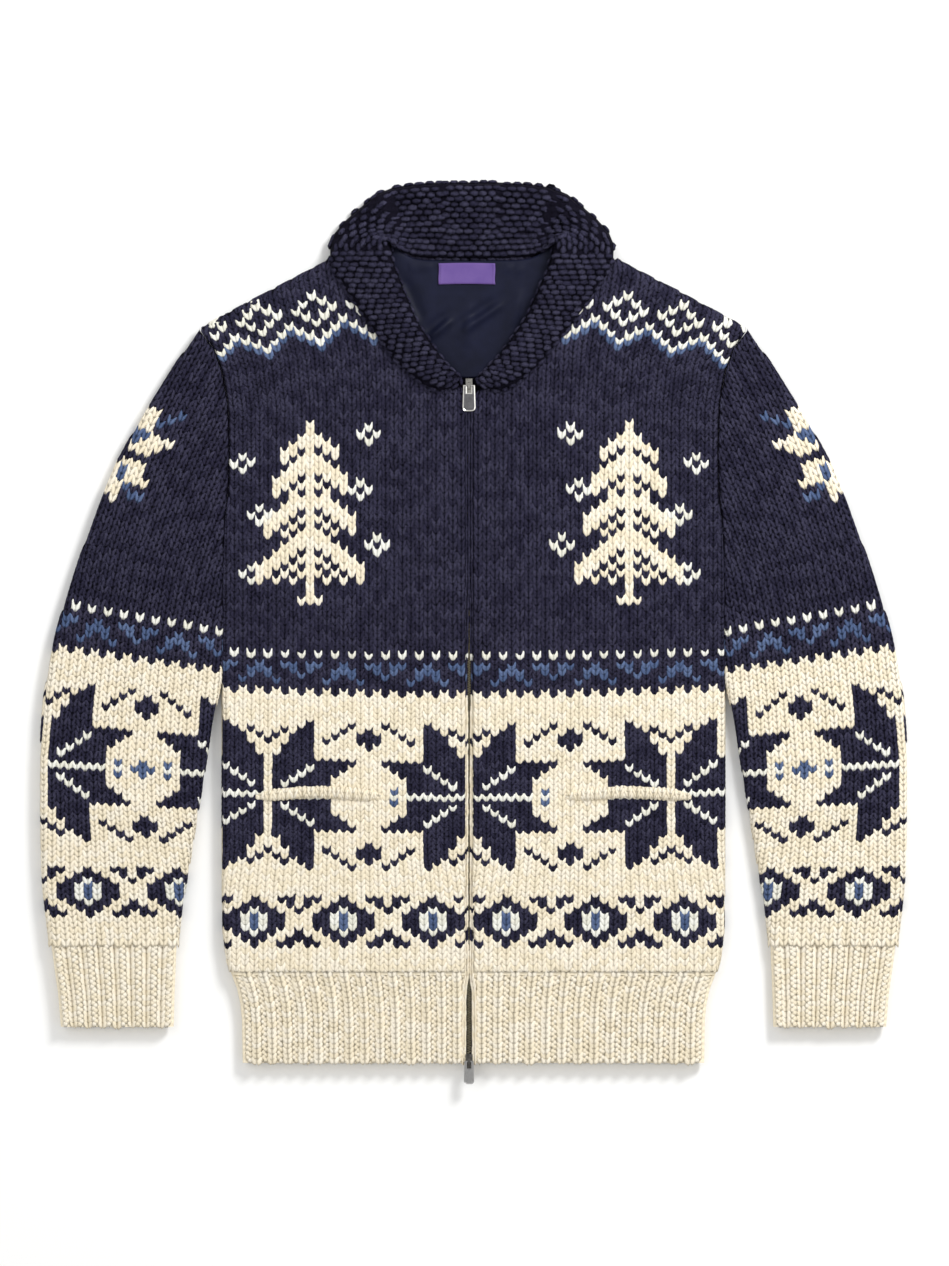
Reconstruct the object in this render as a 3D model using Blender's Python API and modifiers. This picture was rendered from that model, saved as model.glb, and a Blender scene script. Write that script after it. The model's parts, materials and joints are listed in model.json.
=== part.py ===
"""A bulky fair isle zip cardigan with a shawl collar, laid out flat on its back.

Metres, +Z up. The garment lies on the XY plane with its hem towards -Y and its collar towards +Y.
Tables hold millimetres, and the builders turn them into metres.
"""

from math import cos, pi, sin

import bmesh
import bpy
import numpy as np

MM = 0.001

# Heights of the layers, from the surface that the garment lies on.
WALL = 5.0  # thickness of the bulky knit
LAYER_GAP = 0.6  # air between the back and what lies on it
SEAM_GAP = 0.3  # pieces stay this far apart at their seams
FRONT_LOW = WALL + LAYER_GAP
TOP = FRONT_LOW + WALL
MID = TOP / 2
FOLD = MID  # radius of a folded side
THIN_EDGE = 0.5  # what is left of a wall at the very edge of a fold

# Across the front.
ZIP_X = -4.0
ZIP_HALF_GAP = 3.3  # from the middle of the zip to the knitted front edge

# Places up and down the garment.
HEM_BOTTOM = -387.0
HEM_SEAM = -308.0
ARMPIT = 30.0
NECK_Y = 335.0
CUFF_BOTTOM = -354.5
CUFF_SEAM = -280.0

# Raised ribs.
HEM_RIB = 14.4
HEM_RIBS = 14  # on each front
HEM_RIB_SPAN = HEM_RIBS * HEM_RIB + 1.0
CUFF_RIB = 16.2
CUFF_RIB_SPAN = 7 * CUFF_RIB
RIB_DEPTH = 2.0
RIB_PROFILE = ((0.00, 0.0), (0.16, 1.0), (0.62, 1.0), (0.78, 0.0))  # (share of the rib's width, height)

# Columns: y, half width of the body there, width over which its edge rounds off.
BODY_EDGE = (
    (HEM_BOTTOM, 207.8, FOLD),
    (-348.0, 208.4, FOLD),
    (-335.0, 209.7, FOLD),
    (-321.0, 212.6, FOLD),
    (HEM_SEAM, 217.6, FOLD),
    (-294.0, 221.6, FOLD),
    (-267.0, 225.2, FOLD),
    (-159.0, 225.7, FOLD),
    (-52.0, 225.7, FOLD),
    (ARMPIT - 12.0, 225.7, FOLD),
    (ARMPIT, 225.7, 1.0),
    (43.0, 225.5, 0.0),
    (72.0, 225.0, 0.0),
    (102.0, 223.4, 0.0),
    (132.0, 220.6, 0.0),
    (165.0, 219.8, 0.0),
    (210.0, 221.4, 0.0),
    (235.0, 226.6, 0.0),
    (256.0, 233.6, 0.0),
    (270.5, 244.6, 0.0),
    (274.6, 245.2, 9.0),
    (284.0, 228.6, 11.9),
    (304.0, 191.0, 11.9),
    (324.0, 153.0, 11.9),
    (NECK_Y, 131.6, 9.0),
)

# Columns: y, half width of the neck opening, hidden under the collar.
NECK_EDGE = (
    (216.0, 3.3),
    (222.0, 11.0),
    (230.0, 27.0),
    (242.0, 46.0),
    (262.0, 66.0),
    (290.0, 84.0),
    (316.0, 99.0),
    (NECK_Y, 108.0),
)

# Columns: y, half distance to the sleeve's outer fold.
SLEEVE_OUTER = (
    (272.0, 246.6),
    (259.0, 257.0),
    (232.0, 274.0),
    (205.0, 291.5),
    (178.0, 307.4),
    (151.0, 322.0),
    (124.0, 333.4),
    (97.0, 343.8),
    (70.0, 353.2),
    (30.0, 366.6),
    (3.0, 375.2),
    (-24.0, 381.2),
    (-51.0, 385.6),
    (-78.0, 388.2),
    (-105.0, 389.6),
    (-146.0, 390.2),
    (-186.0, 389.7),
    (-213.0, 388.6),
    (-240.0, 386.0),
    (-267.0, 382.8),
    (CUFF_SEAM, 381.0),
)

SLEEVE_ROWS = 22

# Columns: y, half distance to the sleeve's inner fold, below the armpit.
SLEEVE_INNER = (
    (ARMPIT, 226.2),
    (-20.0, 226.2),
    (-40.0, 226.6),
    (-52.0, 228.4),
    (-65.0, 232.4),
    (-78.0, 236.0),
    (-105.0, 239.8),
    (-132.0, 243.8),
    (-159.0, 248.4),
    (-186.0, 252.9),
    (-213.0, 257.2),
    (-240.0, 261.8),
    (-267.0, 265.4),
    (CUFF_SEAM, 266.9),
)

# Columns: y, inner and outer fold of the cuff.
CUFF_EDGES = (
    (CUFF_SEAM - SEAM_GAP, 267.4, 380.2),
    (-300.0, 268.2, 377.6),
    (-325.0, 269.2, 374.0),
    (CUFF_BOTTOM, 270.0, 371.6),
)

# One row for each section of the collar, from the zip round to the middle of the back neck.
# Columns: inner edge x and y, outer edge x and y, underside, height at the inner and outer side.
COLLAR_SECTIONS = (
    (7.6, 225.6, 13.0, 220.6, 10.9, 14.0, 13.2),
    (9.6, 231.6, 30.0, 217.8, 10.9, 19.0, 15.0),
    (14.0, 236.0, 45.0, 226.0, 10.9, 22.0, 16.0),
    (23.0, 245.4, 63.0, 242.0, 10.9, 24.0, 17.0),
    (35.5, 261.5, 75.0, 257.5, 10.9, 25.5, 17.5),
    (48.8, 282.0, 92.5, 279.0, 10.9, 26.5, 18.0),
    (58.0, 303.0, 108.0, 302.0, 10.9, 27.5, 18.0),
    (66.0, 322.0, 123.0, 324.0, 10.9, 28.0, 17.5),
    (71.5, 337.5, 127.4, 337.2, 10.9, 27.5, 17.0),
    (72.5, 351.0, 127.8, 350.0, 0.0, 26.5, 16.5),
    (71.0, 354.0, 123.5, 360.5, 0.0, 25.5, 16.5),
    (69.0, 350.0, 113.5, 372.0, 0.0, 23.5, 16.5),
    (66.0, 346.0, 101.5, 382.5, 0.0, 19.0, 17.0),
    (61.0, 341.5, 86.0, 395.4, 0.0, 14.0, 17.5),
    (53.0, 338.0, 71.0, 401.4, 0.0, 11.0, 17.5),
    (41.0, 336.4, 50.0, 404.8, 0.0, 9.0, 17.0),
    (22.0, 335.8, 24.0, 406.0, 0.0, 8.4, 16.6),
)
COLLAR_ROUNDNESS = 3.2
COLLAR_STEPS = 8

# Pocket slits: middle of the welt, its length and its slope.
WELT_X = 139.0
WELT_Y = -147.5
WELT_LENGTH = 114.0
WELT_HEIGHT = 11.0
WELT_RISE = 4.2

# Lining and label, where they show in the neck.
LINING_LOW = WALL + SEAM_GAP
LINING_THICK = 1.1
LINING_INSET = 1.2
LINING_ROWS = (230.0, 236.0, 244.0, 262.0, 290.0, 316.0, 333.5)
LABEL_SIZE = (51.0, 19.0, 0.8)
LABEL_TOP_Y = 333.0

# Zip.
TAPE_LOW, TAPE_HIGH = 6.9, 8.1
TAPE_TOP_Y = 222.0
TAPE_BOTTOM_Y = -382.0
SLIDER_WIDTH = 6.0
SLIDER_LENGTH = 13.0
SLIDER_LEVELS = (5.8, 6.5, 8.6, 11.1)  # underside, slot floor, slot roof, top
SLIDER_POST = 2.6
BRIDGE_WIDTH = 2.4
BRIDGE_LENGTH = 6.6
BRIDGE_HEIGHT = 3.3
BRIDGE_WALL = 1.0
HINGE_Z = 12.2
PULL_THICK = 1.2
PULL_WINDOW = (4.0, 5.8)
TOP_HINGE_Y = 222.5
BOTTOM_HINGE_Y = -385.5
TOP_PULL = (10.4, 11.7, 23.5)  # width at the bridge, width at the end, length
BOTTOM_PULL = (8.2, 9.2, 21.1)

# Colours, roughness and metallic value.
NAVY = ((0.020, 0.019, 0.036), 0.9, 0.0)
CREAM = ((0.83, 0.76, 0.62), 0.9, 0.0)
LINING_NAVY = ((0.018, 0.024, 0.052), 0.45, 0.0)
LABEL_PURPLE = ((0.13, 0.065, 0.25), 0.5, 0.0)
GUNMETAL = ((0.22, 0.22, 0.23), 0.3, 1.0)
TAPE_BLACK = ((0.02, 0.02, 0.022), 0.8, 0.0)


def clear_scene():
    for old in list(bpy.data.objects):
        bpy.data.objects.remove(old, do_unlink=True)


def new_collection(name, cutters=False):
    collection = bpy.data.collections.new(name)
    bpy.context.scene.collection.children.link(collection)
    collection.hide_render = cutters
    return collection


def material(name, finish):
    colour, roughness, metallic = finish
    made = bpy.data.materials.get(name) or bpy.data.materials.new(name)
    made.use_nodes = True
    shader = made.node_tree.nodes["Principled BSDF"]
    shader.inputs["Base Color"].default_value = (*colour, 1.0)
    shader.inputs["Roughness"].default_value = roughness
    shader.inputs["Metallic"].default_value = metallic
    return made


def finish_object(name, mesh, finish, collection):
    mesh.materials.append(material(name + "_material", finish))
    mesh.shade_smooth()
    mesh.set_sharp_from_angle(angle=0.7)
    obj = bpy.data.objects.new(name, mesh)
    collection.objects.link(obj)
    return obj


def column(table, place, value, at):
    """A table's column read at one place, along a smooth curve through its rows."""
    rows = sorted(table, key=lambda row: row[place])
    xs = np.array([row[place] for row in rows])
    ys = np.array([row[value] for row in rows])
    slopes = np.gradient(ys, xs)
    i = int(np.clip(np.searchsorted(xs, at) - 1, 0, len(xs) - 2))
    step = xs[i + 1] - xs[i]
    t = np.clip((at - xs[i]) / step, 0.0, 1.0)
    start = (2 * t**3 - 3 * t**2 + 1) * ys[i] + (t**3 - 2 * t**2 + t) * step * slopes[i]
    return start + (3 * t**2 - 2 * t**3) * ys[i + 1] + (t**3 - t**2) * step * slopes[i + 1]


def straight_column(table, place, value, at):
    """A table's column read at one place, along straight lines between its rows."""
    rows = sorted(table, key=lambda row: row[place])
    return float(np.interp(at, [row[place] for row in rows], [row[value] for row in rows]))


def loft_mesh(name, outer, inner=None):
    """A closed mesh from rings of points, each list of rings running along the piece.

    With inner rings the wall between the two is solid and both ends are open.
    Without them the ends are capped.
    """
    shape = bmesh.new()

    def skin(rings):
        made = [[shape.verts.new([MM * value for value in point]) for point in ring] for ring in rings]
        for low, high in zip(made, made[1:]):
            for k in range(len(low)):
                after = (k + 1) % len(low)
                shape.faces.new((low[k], low[after], high[after], high[k]))
        return made

    outside = skin(outer)
    if inner is None:
        for ring in (outside[0], outside[-1]):
            shape.faces.new(ring)
    else:
        inside = skin(inner)
        for end in (0, -1):
            a, b = outside[end], inside[end]
            for k in range(len(a)):
                after = (k + 1) % len(a)
                shape.faces.new((a[k], a[after], b[after], b[k]))
    bmesh.ops.recalc_face_normals(shape, faces=shape.faces)
    mesh = bpy.data.meshes.new(name)
    shape.to_mesh(mesh)
    shape.free()
    return mesh


def sheet_rings(rows):
    """Rings round a sheet, one for each row of (x, y, underside, top) points."""
    return [[(x, y, top) for x, y, _, top in row] + [(x, y, low) for x, y, low, _ in reversed(row)] for row in rows]


def fold_height(distance, width):
    """How much of a fold's quarter round is reached this far in from its edge: 0 to 1."""
    if width <= 0 or distance >= width:
        return 1.0
    return float(np.sqrt(1.0 - (1.0 - distance / width) ** 2))


def fold_steps(width):
    """Distances from the edge at which a rounded edge has its points."""
    return [width * (1 - cos(angle * pi / 180)) for angle in (0, 32, 62, 90)]


def body_row(y, inner, outer, fold, columns, low_z, top_z, folded_side, mirror):
    """One row of a panel, from its inner edge out to its folded or cut edge."""
    steps = fold_steps(max(fold, 0.4))
    flat = [inner + (outer - steps[-1] - inner) * k / columns for k in range(columns)]
    row = []
    for x in flat + [outer - step for step in reversed(steps)]:
        share = fold_height(outer - x, fold)
        low, top = low_z, top_z
        if folded_side == "top":
            top = low_z + THIN_EDGE + (top_z - low_z - THIN_EDGE) * share
        else:
            low = top_z - THIN_EDGE - (top_z - low_z - THIN_EDGE) * share
        row.append((mirror * x, y, low, top))
    return row


def body_stations(bottom, top, extra=()):
    """Heights of a body panel's rows: the table's own rows between two ends."""
    own = [row[0] for row in BODY_EDGE if bottom < row[0] < top]
    return sorted({bottom, top, *own, *extra})


def body_half(y):
    return straight_column(BODY_EDGE, 0, 1, y) if y > 250 else column(BODY_EDGE, 0, 1, y)


def body_fold(y):
    return straight_column(BODY_EDGE, 0, 2, y)


def front_inner(y, side):
    """Where a front's inner edge lies: at the zip, and along the neck above it. A distance from X = 0."""
    zip_edge = side * ZIP_X + ZIP_HALF_GAP
    return max(zip_edge, column(NECK_EDGE, 0, 1, y) if y > NECK_EDGE[0][0] else zip_edge)


def front_panel(name, side, collection):
    """The front lies on the back from the rib seam up to the shoulder."""
    rows = []
    for y in body_stations(HEM_SEAM + SEAM_GAP, NECK_Y, extra=[row[0] for row in NECK_EDGE]):
        row = body_row(
            y, front_inner(y, side), body_half(y), body_fold(y), 6, FRONT_LOW, TOP, "top", side
        )
        rows.append(row)
    return finish_object(name, loft_mesh(name, sheet_rings(rows)), CREAM, collection)


def back_panel(collection):
    """The back lies on the surface, with its sides and shoulders rolled up to the fronts."""
    rows = []
    for y in body_stations(HEM_SEAM + SEAM_GAP, NECK_Y):
        right = body_row(y, 0.0, body_half(y), body_fold(y), 5, 0.0, WALL, "low", 1)
        left = body_row(y, 0.0, body_half(y), body_fold(y), 5, 0.0, WALL, "low", -1)
        rows.append(list(reversed(left))[:-1] + right)
    return finish_object("back", loft_mesh("back", sheet_rings(rows)), CREAM, collection)


def rib_points(length, rib):
    """(place, height) of the ribs' corners along a length, with half a groove left at each end."""
    count = int(length // rib)
    start = (length - count * rib) / 2 + rib * 0.11
    return [
        (start + rib * (k + share), height) for k in range(count) for share, height in RIB_PROFILE
    ]


def hem_rows(inner, stations, mirror):
    """Rows of a front hem, whose ribs stand on its top and whose side is folded."""
    rows = []
    for y in stations:
        outer = body_half(y)
        flat = outer - FOLD - inner
        row = [(mirror * inner, y, FRONT_LOW, TOP - RIB_DEPTH)]
        for place, height in rib_points(HEM_RIB_SPAN, HEM_RIB):
            x = inner + flat * place / HEM_RIB_SPAN
            row.append((mirror * x, y, FRONT_LOW, TOP - RIB_DEPTH * (1 - height)))
        for step in reversed(fold_steps(FOLD)):
            top = FRONT_LOW + THIN_EDGE + (WALL - RIB_DEPTH - THIN_EDGE) * fold_height(step, FOLD)
            row.append((mirror * (outer - step), y, FRONT_LOW, top))
        rows.append(row)
    return rows


def hem_front(name, side, collection):
    stations = body_stations(HEM_BOTTOM, HEM_SEAM)
    rows = hem_rows(side * ZIP_X + ZIP_HALF_GAP, stations, side)
    return finish_object(name, loft_mesh(name, sheet_rings(rows)), CREAM, collection)


def hem_back(collection):
    rows = []
    for y in body_stations(HEM_BOTTOM, HEM_SEAM):
        right = body_row(y, 0.0, body_half(y), FOLD, 3, 0.0, WALL, "low", 1)
        left = body_row(y, 0.0, body_half(y), FOLD, 3, 0.0, WALL, "low", -1)
        rows.append(list(reversed(left))[:-1] + right)
    return finish_object("hem_back", loft_mesh("hem_back", sheet_rings(rows)), CREAM, collection)


def path_point(table, share):
    """A point part of the way along a path whose rows are (y, x)."""
    points = np.array([(row[1], row[0]) for row in table], float)
    lengths = np.concatenate([[0.0], np.cumsum(np.linalg.norm(np.diff(points, axis=0), axis=1))])
    at = share * lengths[-1]
    return np.array([np.interp(at, lengths, points[:, 0]), np.interp(at, lengths, points[:, 1])])


def armhole_path():
    """The sleeve's edge along the armhole, from the shoulder tip to the armpit."""
    rows = [(row[0], row[1] + SEAM_GAP + 0.2) for row in BODY_EDGE if ARMPIT < row[0] < 273.0]
    return [SLEEVE_OUTER[0]] + sorted(rows, reverse=True)[1:] + [SLEEVE_INNER[0]]


def armhole_shares():
    """Where the armhole's own rows lie along it, so that the sleeve's edge has its points there."""
    points = np.array(armhole_path(), float)
    lengths = np.cumsum(np.linalg.norm(np.diff(points, axis=0), axis=1))
    return [float(length / lengths[-1]) for length in lengths[:-1]]


def sleeve_point(u, v):
    """A place on the flat sleeve: u runs from the outer fold to the inner, v from armhole to cuff."""
    top, bottom = armhole_path(), (SLEEVE_OUTER[-1], SLEEVE_INNER[-1])
    a, b = path_point(top, u), path_point(bottom, u)
    o, i = path_point(SLEEVE_OUTER, v), path_point(SLEEVE_INNER, v)
    ends = [path_point(top, 0), path_point(top, 1), path_point(bottom, 0), path_point(bottom, 1)]
    corners = (1 - v) * ((1 - u) * ends[0] + u * ends[1]) + v * ((1 - u) * ends[2] + u * ends[3])
    return (1 - v) * a + v * b + (1 - u) * o + u * i - corners


def tube_rings(place, mirror, length, tops):
    """An outer and an inner ring of a flattened tube.

    place gives (x, y) at a share of the way across, and tops are (share, lowering) of the upper points.
    """
    fold = FOLD / length
    rise = [angle * pi / 180 for angle in (0, 32, 62, 90)]
    left = [(fold * (1 - cos(angle)), sin(angle)) for angle in rise]
    right = [(1 - share, height) for share, height in reversed(left)]
    upper = [(s, MID + MID * h) for s, h in left] + [(s, TOP - low) for s, low in tops]
    upper += [(s, MID + MID * h) for s, h in right]
    lower = [(s, MID - MID * h) for s, h in reversed(right[:-1])]
    lower += [(s, 0.0) for s, _ in reversed(tops)]
    lower += [(s, MID - MID * h) for s, h in reversed(left[1:])]
    outer, inner = [], []
    for index, (share, z) in enumerate(upper + lower):
        x, y = place(share)
        outer.append((mirror * x, y, z))
        inside = fold + (1 - 2 * fold) * share
        x, y = place(inside)
        half = LAYER_GAP / 2 * (1 if index < len(upper) else -1)
        end = share in (0.0, 1.0)
        inner.append((mirror * x, y, MID if end else MID + half))
    return outer, inner


def sleeve(name, side, collection):
    outer, inner = [], []
    tops = [(share, 0.0) for share in armhole_shares()]
    for k in range(SLEEVE_ROWS):
        v = k / (SLEEVE_ROWS - 1)
        length = float(np.linalg.norm(sleeve_point(1.0, v) - sleeve_point(0.0, v)))
        rings = tube_rings(lambda u: sleeve_point(u, v), side, length, tops)
        outer.append(rings[0])
        inner.append(rings[1])
    return finish_object(name, loft_mesh(name, outer, inner), NAVY, collection)


def cuff(name, side, collection):
    """The ribbed cuff, a flattened tube with its ribs raised on the upper side."""
    outer, inner = [], []
    for y, near, far in CUFF_EDGES:
        length = far - near
        flat = length - 2 * FOLD
        tops = [
            ((FOLD + flat * place / CUFF_RIB_SPAN) / length, RIB_DEPTH * (1 - height))
            for place, height in rib_points(CUFF_RIB_SPAN, CUFF_RIB)
        ]

        def place(share, y=y, near=near, far=far):
            return far + (near - far) * share, y

        rings = tube_rings(place, side, length, tops)
        outer.append(rings[0])
        inner.append(rings[1])
    return finish_object(name, loft_mesh(name, outer, inner), CREAM, collection)


def collar_ring(row, mirror):
    """One closed section of the folded collar, round at both edges and flat beneath."""
    near_x, near_y, far_x, far_y, low, near_top, far_top = row
    near_x, far_x = near_x + mirror * ZIP_X * row_share(row), far_x + mirror * ZIP_X * row_share(row)
    ring = []
    for k in range(COLLAR_STEPS + 1):
        share = (1 - cos(pi * k / COLLAR_STEPS)) / 2
        height = (near_top + (far_top - near_top) * share) - low
        swell = (1 - abs(2 * share - 1) ** COLLAR_ROUNDNESS) ** (1 / COLLAR_ROUNDNESS)
        z = low + max(0.9, height * swell)
        x = near_x + (far_x - near_x) * share
        y = near_y + (far_y - near_y) * share
        ring.append((mirror * x, y, z))
    for share in (0.97, 0.66, 0.33, 0.03):
        x = near_x + (far_x - near_x) * share
        y = near_y + (far_y - near_y) * share
        ring.append((mirror * x, y, low))
    return ring


def row_share(row):
    """How far a section is shifted with the zip: all the way in front, less at the back of the neck."""
    return float(np.clip(1.0 - (row[1] - 245.0) / 150.0, 0.35, 1.0))


def collar(collection):
    """The shawl collar, from the zip round the neck and back, its two layers one rounded form."""
    left = [collar_ring(row, -1) for row in COLLAR_SECTIONS]
    right = [collar_ring(row, 1) for row in COLLAR_SECTIONS]
    mesh = loft_mesh("collar", left + list(reversed(right)))
    return finish_object("collar", mesh, NAVY, collection)


def pocket_welt(name, side, collection):
    """The rolled edge of a pocket's slit, a long low pad on the front."""
    rings = []
    low = TOP + SEAM_GAP
    for k in range(11):
        share = k / 10
        x = WELT_X + (share - 0.5) * WELT_LENGTH
        y = WELT_Y + WELT_RISE * sin(pi * share)
        swell = (1 - abs(2 * share - 1) ** 4) ** 0.25
        half = WELT_HEIGHT / 2 * max(0.35, swell)
        rise = 3.0 * max(0.3, swell)
        arc = [(side * x, y + half * cos(a * pi / 6), low + 0.4 + rise * sin(a * pi / 6)) for a in range(7)]
        rings.append(arc + [(side * x, y - half, low), (side * x, y + half, low)])
    return finish_object(name, loft_mesh(name, rings), CREAM, collection)


def lining(collection):
    """The woven lining where it shows in the neck, a thin sheet on the back's inner face."""
    rows = []
    for y in LINING_ROWS:
        left = -(front_inner(y, -1) - LINING_INSET)
        right = front_inner(y, 1) - LINING_INSET
        row = []
        for k in range(7):
            x = left + (right - left) * k / 6
            row.append((x, y, LINING_LOW, LINING_LOW + LINING_THICK))
        rows.append(row)
    return finish_object("lining", loft_mesh("lining", sheet_rings(rows)), LINING_NAVY, collection)


def box(name, x, y, z, finish, collection, bevel=0.0):
    """A box from three (low, high) pairs in millimetres."""
    bpy.ops.mesh.primitive_cube_add(size=1)
    obj = bpy.context.active_object
    mesh = obj.data
    for vertex in mesh.vertices:
        for axis, pair in enumerate((x, y, z)):
            vertex.co[axis] = MM * pair[vertex.co[axis] > 0]
    bpy.data.objects.remove(obj, do_unlink=True)
    obj = finish_object(name, mesh, finish, collection)
    if bevel:
        edge = obj.modifiers.new("rounded", "BEVEL")
        edge.width = bevel * MM
        edge.segments = 2
    return obj


def neck_label(collection):
    width, height, thick = LABEL_SIZE
    low = LINING_LOW + LINING_THICK + SEAM_GAP
    x = (-width / 2 - 6.0, width / 2 - 6.0)
    y = (LABEL_TOP_Y - height, LABEL_TOP_Y)
    return box("neck_label", x, y, (low, low + thick), LABEL_PURPLE, collection)


def zip_tape(name, side, collection):
    x = sorted((ZIP_X + side * SEAM_GAP / 2, ZIP_X + side * (ZIP_HALF_GAP - SEAM_GAP)))
    return box(name, x, (TAPE_BOTTOM_Y, TAPE_TOP_Y), (TAPE_LOW, TAPE_HIGH), TAPE_BLACK, collection)


def arc_points(centre_x, centre_y, radius, first, last, steps=4):
    """Points round part of a circle, angles in degrees."""
    angles = [first + (last - first) * k / steps for k in range(steps + 1)]
    return [
        (centre_x + radius * cos(a * pi / 180), centre_y + radius * sin(a * pi / 180)) for a in angles
    ]


def flat_outline(name, loops, thick):
    """A flat mesh filled between closed loops of (x, y) points, thick across Z."""
    curve = bpy.data.curves.new(name, "CURVE")
    curve.dimensions = "2D"
    curve.fill_mode = "BOTH"
    curve.extrude = thick / 2 * MM
    for loop in loops:
        spline = curve.splines.new("POLY")
        spline.points.add(len(loop) - 1)
        for point, (x, y) in zip(spline.points, loop):
            point.co = (x * MM, y * MM, 0.0, 1.0)
        spline.use_cyclic_u = True
    guide = bpy.data.objects.new(name + "_guide", curve)
    bpy.context.scene.collection.objects.link(guide)
    bpy.context.view_layer.update()
    mesh = bpy.data.meshes.new_from_object(guide.evaluated_get(bpy.context.evaluated_depsgraph_get()))
    bpy.data.objects.remove(guide, do_unlink=True)
    shape = bmesh.new()
    shape.from_mesh(mesh)
    bmesh.ops.remove_doubles(shape, verts=shape.verts, dist=1e-6)
    bmesh.ops.recalc_face_normals(shape, faces=shape.faces)
    shape.to_mesh(mesh)
    shape.free()
    mesh.name = name
    mesh.materials.clear()
    return mesh


def upright(mesh, x, y, direction):
    """Turns a flat outline, drawn as (along, up), to stand in the zip's own plane."""
    for vertex in mesh.vertices:
        along, up, across = vertex.co
        vertex.co = (x * MM + across, y * MM + direction * along, up)
    if direction > 0:
        mesh.flip_normals()
    return mesh


def slider(name, hinge_y, direction, collection, cutters):
    """A slider: two plates joined by a post at its nose, with a bridge for the pull.

    direction is +1 where the nose points up the garment and -1 where it points down.
    """
    bottom, floor, roof, top = SLIDER_LEVELS
    nose, tail = SLIDER_LENGTH / 2, -SLIDER_LENGTH / 2
    body = [(tail, bottom), (nose, bottom), (nose, top), (tail, top)]
    body += [(tail, roof), (nose - SLIDER_POST, roof), (nose - SLIDER_POST, floor), (tail, floor)]
    mesh = upright(flat_outline(name, [body], SLIDER_WIDTH), ZIP_X, hinge_y, direction)
    obj = finish_object(name, mesh, GUNMETAL, collection)

    half, high = BRIDGE_LENGTH / 2, top + BRIDGE_HEIGHT
    foot = top - 1.0
    arch = [(half, foot), (half, high - 1.5)]
    arch += arc_points(half - 1.5, high - 1.5, 1.5, 0, 90)[1:]
    arch += arc_points(-half + 1.5, high - 1.5, 1.5, 90, 180)
    arch += [(-half, foot)]
    hole = [(half - BRIDGE_WALL, top), (half - BRIDGE_WALL, high - BRIDGE_WALL)]
    hole += [(-half + BRIDGE_WALL, high - BRIDGE_WALL), (-half + BRIDGE_WALL, top)]
    standing = upright(flat_outline(name + "_bridge", [arch, hole], BRIDGE_WIDTH), ZIP_X, hinge_y, direction)
    bridge = finish_object(name + "_bridge", standing, GUNMETAL, cutters)
    bridge.hide_render = True
    bridge.display_type = "WIRE"
    join = obj.modifiers.new("bridge", "BOOLEAN")
    join.operation = "UNION"
    join.object = bridge
    return obj


def pull(name, size, hinge_y, collection):
    """A pull tab with a window, its origin on the bar that turns in the slider's bridge."""
    near, far, length = size
    window_wide, window_long = PULL_WINDOW
    bar = PULL_THICK / 2
    radius = far * 0.3
    outline = [(-near / 2, bar), (near / 2, bar)]
    outline += arc_points(far / 2 - radius, bar - length + radius, radius, 0, -90)
    outline += arc_points(-far / 2 + radius, bar - length + radius, radius, -90, -180)
    half = window_wide / 2
    window = [(-half, -bar), (half, -bar), (half, -bar - window_long), (-half, -bar - window_long)]
    mesh = flat_outline(name, [outline, window], PULL_THICK)
    obj = finish_object(name, mesh, GUNMETAL, collection)
    obj.location = (ZIP_X * MM, hinge_y * MM, HINGE_Z * MM)
    return obj


def main():
    clear_scene()
    garment = new_collection("fair_isle_cardigan")
    cutters = new_collection("joined_shapes", cutters=True)
    back_panel(garment)
    hem_back(garment)
    for word, side in (("left", -1), ("right", 1)):
        front_panel(f"front_{word}", side, garment)
        hem_front(f"hem_front_{word}", side, garment)
        sleeve(f"sleeve_{word}", side, garment)
        cuff(f"cuff_{word}", side, garment)
        pocket_welt(f"pocket_welt_{word}", side, garment)
        zip_tape(f"zip_tape_{word}", side, garment)
    collar(garment)
    lining(garment)
    neck_label(garment)
    slider("zip_slider_top", TOP_HINGE_Y, 1, garment, cutters)
    slider("zip_slider_bottom", BOTTOM_HINGE_Y, -1, garment, cutters)
    pull("zip_pull_top", TOP_PULL, TOP_HINGE_Y, garment)
    pull("zip_pull_bottom", BOTTOM_PULL, BOTTOM_HINGE_Y, garment)


main()
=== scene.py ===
"""Looks of a fair isle zip cardigan that lies flat, as a camera straight above it sees it.

Every yarn stitch that shows is a real shape. A stitch is laid on a lattice of wales (columns) and
courses (rows) that follows its panel, and takes its yarn from a chart. Sizes are in
millimetres on the garment and become metres where a mesh is made.
"""

from __future__ import annotations

import json
import logging
import math
from dataclasses import dataclass, field
from enum import Enum
from typing import Callable, Sequence

import bmesh
import bpy
import numpy as np
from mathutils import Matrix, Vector
from mathutils.bvhtree import BVHTree

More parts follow.
